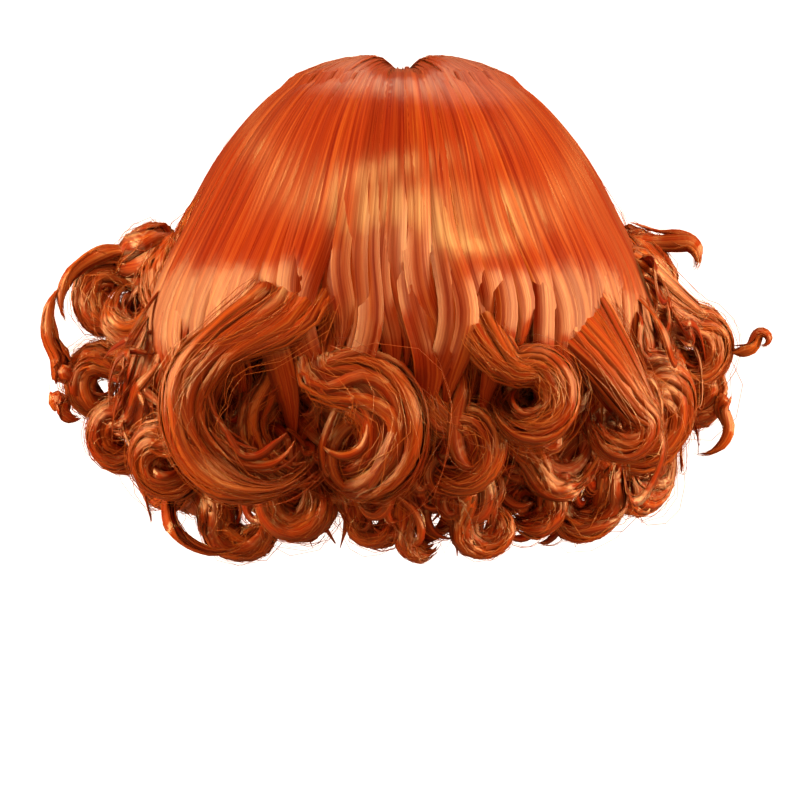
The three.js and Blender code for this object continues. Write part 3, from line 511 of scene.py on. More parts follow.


# The core of a lock, tinted dark as painted shade that shows in the gaps between its ribbons: an ellipse
# carried along the lock's route, a little smaller than the lock.
def lockCore(route, style):
    size = lockStyle["core"] if style["nested"] else lockStyle["core"] * lockStyle["wispCore"]
    at = np.linspace(0.01, lockStyle["coreEnd"], lockStyle["coreRows"])[None]
    taper = endTaper(lockStyle["coreRows"], 0.1, 8) * size
    thick = alongRoute(route, "halfThick", at) * lowUnderCrown(route, at)
    return makeTubes(alongRoute(route, "middle", at), alongRoute(route, "out", at),
                     alongRoute(route, "halfWidth", at) * taper, thick * taper, lockStyle["coreShadeTint"], 0,
                     lockStyle["coreSides"], lockStyle["coreRidges"], np.zeros(1))


# Ribbons that lie side by side on a lock and turn slowly round it.
def lockRibbons(route, style, rng):
    count, rows = style["ribbons"], style["rows"]
    draw = lambda low, high: rng.uniform(low, high, (count, 1))
    at = style["start"] + (draw(*lockStyle["ribbonEnd"]) - style["start"]) * np.linspace(0, 1, rows)
    winding = math.radians(rng.uniform(*lockStyle["twist"])) * rng.choice([-1, 1])
    turn = (np.arange(count)[:, None] + draw(-0.25, 0.25)) / count * 2 * math.pi
    turn = turn + winding * smooth(0.4, 2.0, at) + wander(rng, at, (0.7, 1.6), 0.25)
    reach = draw(*lockStyle["rise"]) + wander(rng, at, (0.8, 1.9), 0.07)
    spot, normal, room = onLock(route, at, turn, reach)
    wide = room * (2 * math.pi / count) / 2 * lockStyle["overlap"] * draw(0.8, 1.25) + 0.5
    taper = endTaper(rows, 0.08, 6)
    thick = draw(*lockStyle["ribbonThick"]) * taper * np.minimum(1, wide / 2)
    tint = draw(*lockStyle["ribbonTint"])
    return makeTubes(spot, normal, wide * taper, thick, tint, 0, lockStyle["ribbonSides"])


# Fine hairs over a lock: each keeps its own angle and height, and some stray outwards in the curl.
def lockHairs(route, style, rng):
    count, steps = style["hairs"], style["steps"]
    draw = lambda low, high: rng.uniform(low, high, (count, 1))
    stray = (rng.random((count, 1)) < lockStyle["stray"]).astype(float)
    first = style["start"] + draw(0, 0.3)
    end = np.minimum(lockStyle["last"], rng.normal(2.0, 0.1, (count, 1)))
    at = first + (end - first) * np.linspace(0, 1, steps)
    turn = draw(0, 2 * math.pi) + draw(-1.2, 1.2) * at + wander(rng, at, (1.1, 2.3), 0.4)
    reach = draw(*lockStyle["hairRise"]) + stray * draw(*lockStyle["strayRise"]) * smooth(0.5, 1.3, at)
    spot, normal, _ = onLock(route, at, turn, reach + wander(rng, at, (1.3, 2.9), 0.08))
    widths = lockStyle["hairWidth"] * draw(0.7, 1.5) * endTaper(steps)
    tint = np.clip(rng.normal(*lockStyle["hairTint"], (count, 1)), 0, 1)
    return makeTubes(spot, normal, widths, widths * 0.8, tint, 1)


# Paths that nest in a curl and round it: each follows the lock into the curl, at its own share of the
# curl's radius, a little before or behind it.
def nestedPaths(route, rng, count, steps):
    draw = lambda low, high: rng.uniform(low, high, (count, 1))
    first = draw(*lockStyle["nestedStart"])
    at = np.minimum(first + draw(*lockStyle["nestedRun"]) * np.linspace(0, 1, steps), lockStyle["last"])
    scale = draw(*lockStyle["nestedScale"])
    scale = 1 + (scale - 1) * smooth(0.8, 1.7, at) * (1 + wander(rng, at, (0.7, 1.4), 0.12))
    middle = alongRoute(route, "middle", at)
    spot = route["centre"] + (middle - route["centre"]) * scale[..., None]
    out = alongRoute(route, "out", at)
    shift = draw(-1, 0.9) * lockStyle["nestedShift"] + wander(rng, at, (0.8, 1.7), 2.0)
    return spot + out * shift[..., None], out


# Ribbons and hairs along nested paths, each ribbon leaning to its own side.
def nestedTubes(route, style, rng):
    count, rows = style["nested"], lockStyle["nestedRows"]
    middle, out = nestedPaths(route, rng, count, rows)
    draw = lambda low, high: rng.uniform(low, high, (count, 1))
    lean = unit(out + unit(middle - route["centre"]) * draw(*lockStyle["nestedLean"])[..., None])
    taper = np.sin(math.pi * np.linspace(0.02, 0.98, rows)) ** 0.8
    wide, thick = draw(*lockStyle["nestedWide"]) * taper, draw(*lockStyle["nestedThick"]) * taper
    tint = draw(*lockStyle["nestedTint"])
    ribbons = makeTubes(middle, lean, wide, thick, tint, 0, lockStyle["ribbonSides"])
    hairs, steps = style["nestedHairs"], style["steps"]
    middle, out = nestedPaths(route, rng, hairs, steps)
    widths = lockStyle["hairWidth"] * rng.uniform(0.7, 1.5, (hairs, 1)) * endTaper(steps)
    tint = np.clip(rng.normal(*lockStyle["nestedHairTint"], (hairs, 1)), 0, 1)
    return [ribbons, makeTubes(middle, out, widths, widths * 0.8, tint, 1)]


# One lock: its strands take the solid's place, and the nested curls are a piece of their own.
def addLock(lock, kind, seed):
    rng = np.random.default_rng(seed)
    route, style = lockRoute(lock), lockStyle[kind]
    tubes = [lockCore(route, style), lockRibbons(route, style, rng), lockHairs(route, style, rng)]
    place(addMesh("strands_" + lock["name"], tubes, hairFinishes), lock["name"])
    if style["nested"]:
        place(addMesh("nested_" + lock["name"], nestedTubes(route, style, rng), hairFinishes))


hairFinish = {
    "dark": (0.14, 0.004, 0.0004, 1), "middle": (0.26, 0.02, 0.0015, 1), "light": (0.4, 0.075, 0.006, 1),
    "sheetRoughness": 0.37, "strandRoughness": 0.3, "level": 1.0, "anisotropy": 1.0,
    "tint": (0.9, 0.72, 0.25, 1), "dullTint": (0.4, 0.24, 0.06, 1), "glossStops": (0.36, 0.56),
    "sheen": 0.03, "sheenTint": (1.0, 0.45, 0.15, 1),
    "streak": (13.0, 0.8, 1), "contrast": 2.2, "strandContrast": 0.7, "bump": 0.8, "bumpHeight": 0.0004,
    "tintShift": 90,  # how far the streaks of two tresses of another tint lie apart in the noise
}


# A shader node with its settings and the values of its sockets.
def addNode(tree, kind, **inputs):
    node = tree.nodes.new(kind)
    for key, value in inputs.items():
        if hasattr(node, key):
            setattr(node, key, value)
        else:
            node.inputs[key].default_value = value
    return node


# A ramp through the given stops, each a place and a colour.
def addRamp(tree, source, *stops):
    ramp = addNode(tree, "ShaderNodeValToRGB")
    elements = ramp.color_ramp.elements
    for _ in stops[2:]:
        elements.new(0.5)
    for element, (position, color) in zip(elements, stops):
        element.position, element.color = position, color
    tree.links.new(source, ramp.inputs["Fac"])
    return ramp.outputs["Color"]


# Colour from a tint and noise: both are added, and a ramp of three shades reads the sum.
def addShades(tree, tint, noise, strength):
    spread = addNode(tree, "ShaderNodeMath", operation="MULTIPLY_ADD")
    spread.inputs[1].default_value = strength
    tree.links.new(noise, spread.inputs[0])
    tree.links.new(tint, spread.inputs[2])
    shift = addNode(tree, "ShaderNodeMath", operation="SUBTRACT")
    shift.inputs[1].default_value = strength / 2
    tree.links.new(spread.outputs[0], shift.inputs[0])
    return addRamp(tree, shift.outputs[0], (0.05, hairFinish["dark"]), (0.5, hairFinish["middle"]),
                   (0.95, hairFinish["light"]))


# A new material with its tree and its shader.
def newMaterial(name, roughness):
    material = bpy.data.materials.new(name)
    material.use_nodes = True
    shader = material.node_tree.nodes["Principled BSDF"]
    shader.inputs["Roughness"].default_value = roughness
    return material, material.node_tree, shader


def addBump(tree, noise, shader, strength, height):
    bump = addNode(tree, "ShaderNodeBump", Strength=strength, Distance=height)
    tree.links.new(noise, bump.inputs["Height"])
    tree.links.new(bump.outputs["Normal"], shader.inputs["Normal"])


def hairShader(name, roughness):
    material, tree, shader = newMaterial(name, roughness)
    shader.inputs["Specular Tint"].default_value = hairFinish["tint"]
    shader.inputs["Specular IOR Level"].default_value = hairFinish["level"]
    shader.inputs["Sheen Weight"].default_value = hairFinish["sheen"]
    shader.inputs["Sheen Tint"].default_value = hairFinish["sheenTint"]
    return material, tree, shader


# The skin of a tress: streaks drawn out along the hair, in the UV, colour it, raise it and break its gloss,
# and the gloss is stretched across the hair.
def sheetMaterial():
    material, tree, shader = hairShader("hair_sheet", hairFinish["sheetRoughness"])
    uv = addNode(tree, "ShaderNodeUVMap", uv_map="strands")
    stretch = addNode(tree, "ShaderNodeMapping", Scale=hairFinish["streak"])
    tree.links.new(uv.outputs["UV"], stretch.inputs["Vector"])
    tint = addNode(tree, "ShaderNodeAttribute", attribute_name="tint")
    noise = addNode(tree, "ShaderNodeTexNoise", noise_dimensions="4D", Detail=3.0, Roughness=0.7, Scale=1.0)
    lift = addNode(tree, "ShaderNodeMath", operation="MULTIPLY")
    lift.inputs[1].default_value = hairFinish["tintShift"]
    tree.links.new(tint.outputs["Fac"], lift.inputs[0])
    tree.links.new(stretch.outputs["Vector"], noise.inputs["Vector"])
    tree.links.new(lift.outputs[0], noise.inputs["W"])
    streaks = noise.outputs["Fac"]
    shades = addShades(tree, tint.outputs["Fac"], streaks, hairFinish["contrast"])
    tree.links.new(shades, shader.inputs["Base Color"])
    dull, bright = hairFinish["glossStops"]
    gloss = addRamp(tree, streaks, (dull, hairFinish["dullTint"]), (bright, hairFinish["tint"]))
    tree.links.new(gloss, shader.inputs["Specular Tint"])
    addBump(tree, streaks, shader, hairFinish["bump"], hairFinish["bumpHeight"])
    tangent = addNode(tree, "ShaderNodeTangent", direction_type="UV_MAP", uv_map="strands")
    tree.links.new(tangent.outputs["Tangent"], shader.inputs["Tangent"])
    shader.inputs["Anisotropic"].default_value = hairFinish["anisotropy"]
    return material


# A hair by itself: its own tint, clouded a little by noise in the object's space.
def strandMaterial():
    material, tree, shader = hairShader("hair_strand", hairFinish["strandRoughness"])
    tint = addNode(tree, "ShaderNodeAttribute", attribute_name="tint")
    coordinates = addNode(tree, "ShaderNodeTexCoord")
    noise = addNode(tree, "ShaderNodeTexNoise", Scale=45.0, Detail=3.0, Roughness=0.6)
    tree.links.new(coordinates.outputs["Object"], noise.inputs["Vector"])
    shades = addShades(tree, tint.outputs["Fac"], noise.outputs["Fac"], hairFinish["strandContrast"])
    tree.links.new(shades, shader.inputs["Base Color"])
    return material


# A mottled cloth or skin: noise in the object's space, of a given scale, darkens it and raises it.
def plainMaterial(name, color, roughness, scale, strength):
    material, tree, shader = newMaterial(name, roughness)
    coordinates = addNode(tree, "ShaderNodeTexCoord")
    noise = addNode(tree, "ShaderNodeTexNoise", Scale=scale, Detail=4.0)
    tree.links.new(coordinates.outputs["Object"], noise.inputs["Vector"])
    darker = tuple(0.7 * channel for channel in color[:3]) + (1,)
    shades = addRamp(tree, noise.outputs["Fac"], (0.3, darker), (0.7, color))
    tree.links.new(shades, shader.inputs["Base Color"])
    addBump(tree, noise.outputs["Fac"], shader, strength, 0.0005)
    return material


hairFinishes = [sheetMaterial(), strandMaterial()]


# Hangs a piece on the part's body, in the place of any nodes that are named.
def place(piece, *nodes):
    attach(piece, "root")
    if nodes:
        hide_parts(*nodes)


# The locks, each with its own seed.
lockKinds = (("long", longLocks), ("short", shortLocks), ("wisp", wisps))
allLocks = [(kind, lock) for kind, locks in lockKinds for lock in locks]
for index, (kind, lock) in enumerate(allLocks):
    addLock(lock, kind, 100 + index)
print("locks made")

# The base hair, the crown over it and the layer under the locks. Drops are shares of the hair's fall.
rootShares = {
    "azimuth": [0, 34, 52, 71, 93, 117, 150, 180],
    "root": [0, 0.05, 0.1, 0.22, 0.32, 0.55, 0.84, 1],
}
combStyle = {
    "rootSink": 3.5, "firstDrop": 0.012, "rootShare": 0.12,  # how combed hair leaves the parting
    "lobe": 6.4, "lobeShare": 0.14, "lobeSides": (6, 34),  # the rise beside the parting
    "curly": (2, 5), "curlyWaves": (11, 16), "curlyDrops": (0.38, 0.62),  # bends towards the tips
    "hairSpread": (0.6, 1.5), "hairTint": (0.6, 0.2),
}
baseStyle = {
    # the base hair's tint of 0.05 keeps it near the darkest shade: painted shade where it shows between the
    # locks and tresses
    "sides": 96, "rows": 40, "tint": 0.05, "sink": 0.8, "stripClear": 0.5,
    "hairs": 160, "steps": 10, "hairWidth": 0.4, "hairLift": 0.6, "wave": 4, "hairLast": (0.8, 1.0),
}
crownStyle = {
    "tresses": 110, "rows": 36, "sides": 6, "thick": 0.9, "overlap": 1.0, "ridges": 0.05,
    "tint": (0.26, 0.48), "tressWave": 1.5, "rootWidth": 2.2,
    "last": (0.6, 0.84), "pastRim": (-0.03, 0.03),  # drop of the tips, and where the rim cuts them short
    "hairs": 1560, "steps": 15, "width": 0.13, "wave": 2.5, "hairLast": (0.7, 1.1),
    "lift": 5.6, "swell": 0.35,
    "flare": 4.5, "flareDrops": (0.26, 0.48), "flareSides": (58, 84), "proudDrops": (0.58, 0.84),
    "dive": 14, "diveDrops": (0.54, 0.84), "tipDive": 4,
}
crownWaves = {
    "left": {"height": 6.0, "azimuth": -27, "reach": 19, "drops": (0.24, 0.44)},
    "right": {"height": 5.0, "azimuth": 18, "reach": 16, "drops": (0.34, 0.5)},
}
underStyle = {
    "tresses": 96, "rows": 26, "sides": 6, "first": 0.3, "last": (0.84, 1.06), "pastRim": 0.09,
    "around": 250, "lift": (-12, -3), "swing": 5.5, "wide": (3.0, 6.5), "thick": (0.7, 1.2),
    "tint": (0.25, 0.55), "hairs": 260, "hairRows": 18, "hairWidth": 0.2, "hairTint": (0.3, 0.8),
}


# How far the crown's hair stands off the envelope: gentle swells, two broad waves at the back and a flare
# above the locks, and then down in among them.
def crownLift(azimuth, drop, share):
    phase = 0.5 * np.sin(1.9 * azimuth) + 0.8 * np.sin(0.067 * azimuth + 1)
    swell = crownStyle["swell"] * np.sin(31 * drop + phase) * smooth(0.12, 0.3, drop)
    lift = crownStyle["lift"] * (0.5 + 0.5 * smooth(0.02, 0.1, drop))
    left, right = (wave["height"] * np.exp(-((azimuth - wave["azimuth"]) / wave["reach"]) ** 2)
                   * smooth(*wave["drops"], drop) for wave in crownWaves.values())
    dive = crownStyle["dive"] * smooth(*crownStyle["diveDrops"], drop)
    dive = dive + crownStyle["tipDive"] * smooth(0.8, 1, share)
    flare = crownStyle["flare"] * smooth(*crownStyle["flareDrops"], drop)
    flare = flare * (1 - smooth(*crownStyle["flareSides"], np.abs(azimuth)))
    proud = (flare + np.maximum(left, right)) * (1 - smooth(*crownStyle["proudDrops"], drop))
    return lift + swell + proud - dive


# Evens paths out: each place moves half the way to the middle of its neighbours, a few times over.
def soften(middles, times):
    for _ in range(times):
        middles[:, 1:-1] = (middles[:, :-2] + 2 * middles[:, 1:-1] + middles[:, 2:]) / 4
    return middles


# Paths combed down over the hair: each starts at its own place on the parting, and runs down the envelope
# at its own azimuth, by its own lift.
def combedPaths(rng, azimuths, lasts, liftOf, steps, wave):
    root = readTable(rootShares, "azimuth", np.abs(azimuths), "root")
    y = cap["partingBack"] + (cap["partingFront"] - cap["partingBack"]) * root
    rise = cap["wall"] + cap["stripWall"] + cap["rootRise"]
    height = headTopAt(y, rise) - combStyle["rootSink"]
    starts = np.stack([np.sign(azimuths) * cap["rootOffset"], y, height], axis=-1)
    share = np.linspace(0, 1, steps)[None] ** 1.1 + np.zeros((len(azimuths), 1))
    drop = combStyle["firstDrop"] + (lasts[:, None] - combStyle["firstDrop"]) * share ** 1.3
    curly = rng.uniform(*combStyle["curly"], (len(azimuths), 1))
    waves = rng.uniform(*combStyle["curlyWaves"], (len(azimuths), 1))
    curly = curly * np.sin(waves * drop + 0.05 * azimuths[:, None]) * smooth(*combStyle["curlyDrops"], drop)
    bend = azimuths[:, None] + wander(rng, share, (0.9, 2.1), wave) * share + curly
    middles = soften(onHair(bend, drop, liftOf(bend, drop, share)), steps // 5)
    ease = np.clip(share / combStyle["rootShare"], 0, 1)[..., None] ** 0.8
    middles = starts[:, None] * (1 - ease) + middles * ease
    lobe = combStyle["lobe"] * smooth(*combStyle["lobeSides"], np.abs(azimuths))[:, None]
    middles[..., 2] += lobe * np.sin(math.pi * np.clip(share / combStyle["lobeShare"], 0, 1) ** 0.85)
    return middles, share


# Fine hairs along combed paths.
def combedHairs(rng, azimuths, lasts, liftOf, steps, width, wave):
    middles, _ = combedPaths(rng, azimuths, lasts, liftOf, steps, wave)
    widths = width * rng.uniform(*combStyle["hairSpread"], (len(azimuths), 1)) * endTaper(steps)
    tint = np.clip(rng.normal(*combStyle["hairTint"], (len(azimuths), 1)), 0, 1)
    return makeTubes(middles, hairNormal(middles), widths, widths * 0.8, tint, 1)


# The base hair: a closed hollow dome, ridged outside and smooth inside, sunk under the parting strip, with
# hairs combed over it. The dome is tinted near the darkest shade as painted shade in the clefts between the
# locks.
def addBaseHair():
    rng = np.random.default_rng(7)
    sides, rows = baseStyle["sides"], baseStyle["rows"]
    angle = np.linspace(0, 360, sides, endpoint=False) - 180
    level = np.linspace(0.004, 1, rows)[:, None]
    drops = level * rimDrop(angle)[None]
    ridge = 0.7 * np.cos(np.radians(angle) * 40)[None] + 0.5 * np.cos(np.radians(angle) * 27 + 3 * level)
    depth = -baseInset(drops) + ridge * np.minimum(1, level * 4) - baseStyle["sink"]
    outer = onHair(angle[None] + 0 * drops, drops, depth)
    clear = cap["wall"] + (cap["bandWall"] - cap["wall"]) / 2 + 2 * cap["gap"]
    capRim = readTable(rimLevels, "azimuth", np.abs(angle), "capAngle")
    inner = onHead(angle[None] + 0 * drops, level * capRim[None], clear)
    y = outer[..., 1]
    overParting = (np.abs(outer[..., 0]) < 6) & (outer[..., 2] > -60)
    overParting = overParting & (y > cap["partingBack"] - 4) & (y < 74)
    underStrip = headTopAt(np.clip(y, -80, 80), cap["wall"] + baseStyle["stripClear"])
    outer[..., 2] = np.where(overParting, underStrip, outer[..., 2])
    points = np.concatenate([outer, inner[::-1]])[:, ::-1].reshape(-1, 3)
    quads, ends = tubeFaces(1, 2 * rows, sides)
    row, side = (np.arange(2 * rows - 1) * sides)[:, None], np.arange(sides)[None]
    u0, u1 = side * 0.5 + 0.0 * row, (side + 1) * 0.5 + 0.0 * row
    v0, v1 = row / sides * 0.06 + 0 * u0, (row / sides + 1) * 0.06 + 0 * u0
    dome = {"points": points, "quads": quads, "ends": ends, "quadUv": quadCorners(u0, u1, v0, v1),
            "endUv": np.zeros((len(ends), 3, 2)), "tints": np.full(len(points), baseStyle["tint"]),
            "finish": 0}
    azimuths = rng.uniform(-180, 180, baseStyle["hairs"])
    lasts = rimDrop(azimuths) * rng.uniform(*baseStyle["hairLast"], len(azimuths))
    liftOf = lambda azimuth, drop, share: baseStyle["hairLift"] - baseInset(drop)
    hairs = combedHairs(rng, azimuths, lasts, liftOf, baseStyle["steps"], baseStyle["hairWidth"],
                        baseStyle["wave"])
    place(addMesh("base_hair_combed", [dome, hairs], hairFinishes), "base_hair")


# The crown: flat tresses side by side from the parting, each as wide as its share of the way round, with
# fine hairs over them. They dive in among the locks at their tips.
def addCrown():
    rng = np.random.default_rng(8)
    count, rows = crownStyle["tresses"], crownStyle["rows"]
    lastOf = lambda azimuth: np.minimum(rng.uniform(*crownStyle["last"], len(azimuth)),
                                        rimDrop(azimuth) + rng.uniform(*crownStyle["pastRim"], len(azimuth)))
    azimuths = (np.arange(count) + rng.uniform(0.2, 0.8, count)) / count * 360 - 180
    middles, share = combedPaths(rng, azimuths, lastOf(azimuths), crownLift, rows, crownStyle["tressWave"])
    around = np.hypot(middles[..., 0], middles[..., 1]) * 2 * math.pi / count
    narrow = crownStyle["rootWidth"]
    around = np.minimum(around, narrow + (around - narrow) * smooth(0, 0.15, share))
    widths = around * crownStyle["overlap"] * rng.uniform(0.85, 1.2, (count, 1))
    widths = widths * (1 - 0.9 * smooth(0.84, 1, share))
    thicks = crownStyle["thick"] * (0.3 + 0.7 * smooth(0, 0.2, share)) * rng.uniform(0.8, 1.3, (count, 1))
    thicks = thicks * endTaper(rows, 0.2, 7)
    tints = rng.uniform(*crownStyle["tint"], (count, 1))
    sheets = makeTubes(middles, hairNormal(middles), widths, thicks, tints, 0, crownStyle["sides"],
                       crownStyle["ridges"], rng.uniform(0, 7, count))
    azimuths = rng.uniform(-180, 180, crownStyle["hairs"])
    over = lambda azimuth, drop, share: (crownLift(azimuth, drop, share)
                                         + crownStyle["thick"] * 0.9 * smooth(0, 0.1, share))
    lasts = lastOf(azimuths) * rng.uniform(*crownStyle["hairLast"], len(azimuths))
    hairs = combedHairs(rng, azimuths, lasts, over, crownStyle["steps"], crownStyle["width"],
                        crownStyle["wave"])
    place(addMesh("crown_hair", [sheets, hairs], hairFinishes))


# Wavy ribbons and hairs between the base hair and the locks: each runs down the envelope at its own depth,
# and swings from side to side.
def addUnder():
    rng = np.random.default_rng(9)
    for name, count, rows in (("under_ribbons", underStyle["tresses"], underStyle["rows"]),
                              ("under_hairs", underStyle["hairs"], underStyle["hairRows"])):
        draw = lambda low, high: rng.uniform(low, high, (count, 1))
        azimuth = (np.arange(count)[:, None] + draw(0, 1)) / count * underStyle["around"]
        azimuth = azimuth - underStyle["around"] / 2
        share = np.linspace(0, 1, rows)[None]
        last = np.minimum(draw(*underStyle["last"]), rimDrop(azimuth) + underStyle["pastRim"])
        drop = underStyle["first"] + (last - underStyle["first"]) * share
        swing = underStyle["swing"] * draw(0.4, 1.3) * np.sin(draw(22, 34) * drop + draw(0, 6.3))
        swing = swing * smooth(0, 0.3, share)
        depth = draw(*underStyle["lift"]) - 64 * np.maximum(0, drop - 0.45) ** 2
        depth = depth + 3 * np.cos(draw(20, 32) * drop)
        middle = onHair(azimuth + swing, drop, depth)
        out = hairNormal(middle)
        lean = unit(out + np.cross(out, [0, 0, 1.0]) * (0.8 * np.sin(17 * drop + draw(0, 6.3)))[..., None])
        taper = endTaper(rows, 0.08, 8)
        if name == "under_ribbons":
            wide, thick = draw(*underStyle["wide"]) * taper, draw(*underStyle["thick"]) * taper
            tubes = makeTubes(middle, lean, wide, thick, draw(*underStyle["tint"]), 0, underStyle["sides"])
        else:
            widths = underStyle["hairWidth"] * draw(0.7, 1.4) * taper
            tubes = makeTubes(middle, out, widths, widths, draw(*underStyle["hairTint"]), 1)
        place(addMesh(name, [tubes], hairFinishes))


addBaseHair()
addCrown()
addUnder()
print("base hair, crown and under layer made")

# Loose curls between the locks, by the area that they fill.
looseStyle = {
    "left": dict(tufts=60, azimuths=(-120, -60), firstDrop=(0.36, 0.66), fall=(0.08, 0.28), lift=(-2, 20)),
    "right": dict(tufts=60, azimuths=(60, 120), firstDrop=(0.36, 0.66), fall=(0.08, 0.28), lift=(-2, 20)),
    "back": dict(tufts=34, azimuths=(-60, 60), firstDrop=(0.46, 0.72), fall=(0.1, 0.25), lift=(-10, 2)),
    "nape": dict(tufts=125, azimuths=(-90, 90), firstDrop=(0.76, 0.94), fall=(0.03, 0.08), lift=(-18, -2)),
    "front": dict(tufts=14, azimuths=(118, 242), firstDrop=(0.2, 0.42), fall=(0.08, 0.25), lift=(-8, 3)),
    "napeLeft": dict(tufts=9, azimuths=(-46, -30), firstDrop=(0.84, 0.9), fall=(0.02, 0.05), lift=(-16, -4)),
    "napeRight": dict(tufts=7, azimuths=(5, 22), firstDrop=(0.85, 0.91), fall=(0.02, 0.05), lift=(-16, -4)),
}
tuftStyle = {
    "hairs": 5, "steps": 20, "sides": 4, "radius": (9, 21), "turns": (0.35, 0.8), "spread": 1.6,
    "tressWidth": (1.4, 4.0), "tressThick": (0.5, 0.9), "tressTint": (0.2, 0.6), "ridges": 0.1,
    "hairWidth": 0.16, "hairTint": (0.55, 0.2), "lowest": 0.95, "pastRim": 0.02,
}


# Loose curls: each tress drifts down the envelope and circles round that place, with a radius that opens
# from nothing and an angle that turns faster towards the tip. A few hairs run beside each tress.
def addLoose(name, seed):
    rng = np.random.default_rng(seed)
    style = looseStyle[name]
    tufts, hairs, steps = style["tufts"], tuftStyle["hairs"], tuftStyle["steps"]
    share = np.linspace(0, 1, steps)[None, None]
    draw = lambda low, high: rng.uniform(low, high, (tufts, 1, 1))
    azimuth = draw(*style["azimuths"]) + draw(-8, 8) * share
    first = draw(*style["firstDrop"])
    last = np.minimum(first + draw(*style["fall"]), tuftStyle["lowest"])
    drop = first + (last - first) * smooth(-0.3, 0.9, share)
    rim = rimDrop((azimuth + 180) % 360 - 180) + tuftStyle["pastRim"]
    drop = np.where(np.cos(np.radians(azimuth)) < -0.45, np.minimum(drop, rim), drop)
    radius = draw(*tuftStyle["radius"]) * smooth(0.1, 0.7, share) * (1 - 0.3 * share)
    side = np.sign(draw(-1, 1))
    angle = draw(0, 2 * math.pi) + side * draw(*tuftStyle["turns"]) * 2 * math.pi * share ** 1.2
    middle = onHair(azimuth, drop, draw(*style["lift"]) * smooth(-0.1, 0.5, share))
    out = hairNormal(middle)
    out[..., 2] *= 0.3
    right = unit(np.cross([0, 0, 1.0], out) + out * draw(-0.5, 0.5)[..., None])
    down = unit(np.cross(out, right))
    middle = middle + right * (radius * np.cos(angle))[..., None] + down * (radius * np.sin(angle))[..., None]
    out = unit(out)
    width, thick = draw(*tuftStyle["tressWidth"]), draw(*tuftStyle["tressThick"])
    swell = np.sin(math.pi * np.linspace(0.01, 0.99, steps)) ** 0.9
    skins = makeTubes(middle[:, 0], out[:, 0], (width * swell)[:, 0], (thick * swell)[:, 0],
                      rng.uniform(*tuftStyle["tressTint"], (tufts, 1)), 0, tuftStyle["sides"],
                      tuftStyle["ridges"], rng.uniform(0, 7, tufts))
    ahead = unit(np.gradient(middle, axis=2))
    across = unit(np.cross(out, ahead))
    turn = rng.uniform(0, 2 * math.pi, (tufts, hairs, 1))
    stray = rng.uniform(0.9, 1.5, (tufts, hairs, 1)) + rng.uniform(0, 1.5, (tufts, hairs, 1)) * share
    apart = wander(rng, share + np.zeros((tufts, hairs, 1)), (0.8, 1.9), tuftStyle["spread"])
    course = (middle + across * (stray * width * np.cos(turn) * swell + apart)[..., None]
              + out * (stray * thick * np.sin(turn) * swell + apart)[..., None])
    widths = tuftStyle["hairWidth"] * rng.uniform(0.7, 1.5, (tufts, hairs, 1)) * endTaper(steps)
    tint = np.clip(rng.normal(*tuftStyle["hairTint"], (tufts, hairs, 1)) + 0 * widths, 0, 1)
    flat = lambda values: values.reshape((tufts * hairs, steps) + values.shape[3:])
    outs = np.broadcast_to(out, course.shape)
    strands = makeTubes(flat(course), flat(outs), flat(widths), flat(widths) * 0.8, flat(tint), 1)
    place(addMesh("loose_hair_" + name, [skins, strands], hairFinishes))


for index, area in enumerate(("left", "right", "back", "nape", "front", "napeLeft", "napeRight")):
    addLoose(area, 50 + index)
print("loose hair made")

# Cap, band and parting: name, colour, roughness, and the scale and strength of their weave or grain.
capLook = {
    "cap": ("cap_net", (0.10, 0.045, 0.028, 1), 0.9, 900.0, 0.6),
    "cap_band": ("band_weave", (0.06, 0.03, 0.02, 1), 0.85, 1200.0, 0.6),
    "parting_strip": ("parting_skin", (0.62, 0.27, 0.15, 1), 0.7, 500.0, 0.3),
}
for node, look in capLook.items():
    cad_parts[node].data.materials.clear()
    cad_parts[node].data.materials.append(plainMaterial(*look))
print("cap finished")

# Stage, lights and camera, in metres.
stage = {"floorDrop": 0.42, "reach": 4.0, "bendRadius": 1.0, "wallTop": 4.0, "segments": 64}


# An even white that glows.
def stageMaterial():
    material, _, shader = newMaterial("pale_stage", 0.9)
    shader.inputs["Base Color"].default_value = (0.85, 0.85, 0.85, 1)
    shader.inputs["Emission Color"].default_value = (1, 1, 1, 1)
    shader.inputs["Emission Strength"].default_value = 1.0
    return material


# A round floor that bends up into a wall all round: a line, a quarter circle and a line, turned about the
# middle. It is seen and casts no light or shadow on the wig.
def addStage():
    bend = np.linspace(0, math.pi / 2, 16)
    reach, radius = stage["reach"], stage["bendRadius"]
    r = np.concatenate([[0.01], reach + radius * np.sin(bend), [reach + radius]])
    z = np.concatenate([[0], radius * (1 - np.cos(bend)), [stage["wallTop"]]]) - stage["floorDrop"]
    turn = np.arange(stage["segments"])[:, None] / stage["segments"] * 2 * math.pi
    points = np.stack([r * np.cos(turn), r * np.sin(turn), z + 0 * turn], axis=-1).reshape(-1, 3)
    n = len(r)
    row = (np.arange(stage["segments"]) * n)[:, None] + np.arange(n - 1)[None]
    after = ((np.arange(stage["segments"]) + 1) % stage["segments"] * n)[:, None] + np.arange(n - 1)[None]
    faces = np.stack([row, row + 1, after + 1, after], axis=-1).reshape(-1, 4)
    mesh = bpy.data.meshes.new("floor")
    mesh.from_pydata(points.tolist(), [], faces.tolist())
    mesh.materials.append(stageMaterial())
    floor = bpy.data.objects.new("floor", mesh)
    bpy.context.scene.collection.objects.link(floor)
    floor.visible_diffuse = floor.visible_glossy = floor.visible_shadow = False
    floor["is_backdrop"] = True


addStage()
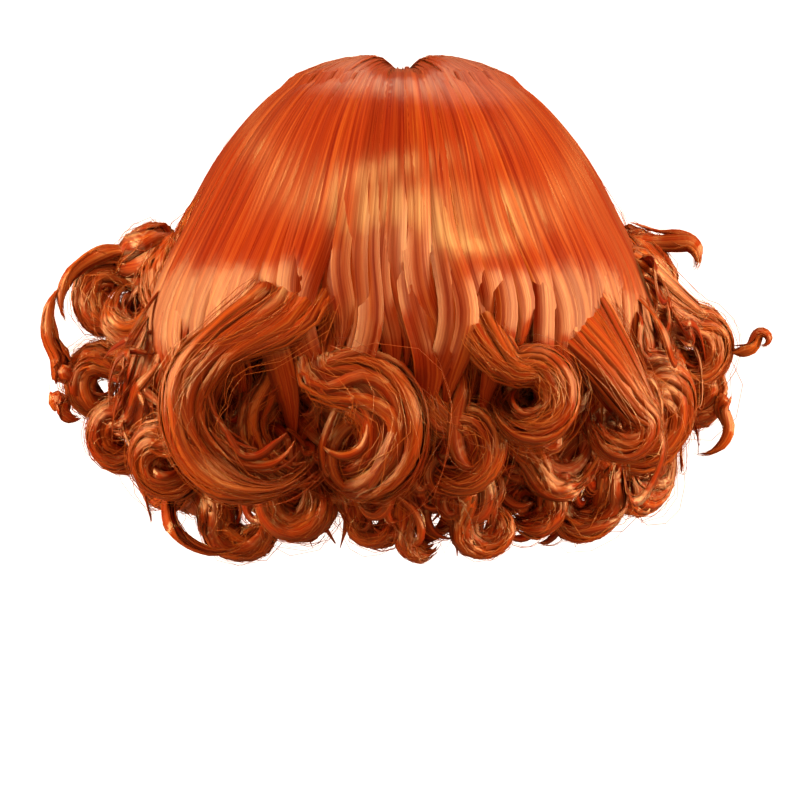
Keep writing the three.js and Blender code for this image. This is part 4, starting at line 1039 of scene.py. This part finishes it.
light = {
    "key": {"azimuth": 36, "elevation": 40, "distance": 2.2, "width": 1.3, "height": 0.13, "power": 31},
    "keyLeft": {"azimuth": -34, "elevation": 54, "distance": 2.2, "width": 0.9, "height": 0.13, "power": 18},
    "low": {"azimuth": 0, "elevation": -14, "distance": 2.6, "width": 2.4, "height": 1.0, "power": 11},
    "left": {"azimuth": -82, "elevation": 8, "distance": 2.0, "width": 0.6, "height": 1.2, "power": 86},
    "right": {"azimuth": 84, "elevation": 8, "distance": 2.0, "width": 0.6, "height": 1.2, "power": 84},
    "top": {"azimuth": 170, "elevation": 62, "distance": 2.0, "width": 1.4, "height": 0.8, "power": 12},
}
background = {"Color": (1.0, 0.42, 0.2, 1), "Strength": 0.5}
warmth = (1.0, 0.86, 0.7)
aim = np.array([0, 0, -0.11])


# Puts a lamp or the camera at a spot, and turns it to look at a target.
def turnTowards(item, spot, target):
    item.location = Vector(spot)
    item.rotation_euler = Vector(target - spot).to_track_quat("-Z", "Y").to_euler()


for name, look in light.items():
    data = bpy.data.lights.new("light_" + name, "AREA")
    data.shape = "RECTANGLE"
    data.size, data.size_y, data.energy = look["width"], look["height"], look["power"]
    data.color = warmth
    lamp = bpy.data.objects.new("light_" + name, data)
    bpy.context.scene.collection.objects.link(lamp)
    turnTowards(lamp, aim + facing(look["azimuth"], -look["elevation"]) * look["distance"], aim)

world = bpy.data.worlds.new("studio")
bpy.context.scene.world = world
world.use_nodes = True
for key, value in background.items():
    world.node_tree.nodes["Background"].inputs[key].default_value = value

view = {"distance": 3.0, "across": -0.001, "height": -0.161, "frameWidth": 0.4, "elevation": 0.0}
data = bpy.data.cameras.new("camera")
data.sensor_width = 36
data.lens = 36 * view["distance"] / view["frameWidth"]
camera = bpy.data.objects.new("camera", data)
bpy.context.scene.collection.objects.link(camera)
target = np.array([view["across"], 0, view["height"]])
turnTowards(camera, target + facing(0, -view["elevation"]) * view["distance"], target)
bpy.context.scene.camera = camera
bpy.context.scene.view_settings.view_transform = "Standard"
print("stage, lights and camera set")

triangles = sum(len(item.data.loop_triangles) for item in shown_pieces() if item.type == "MESH")
print("triangles shown:", triangles)
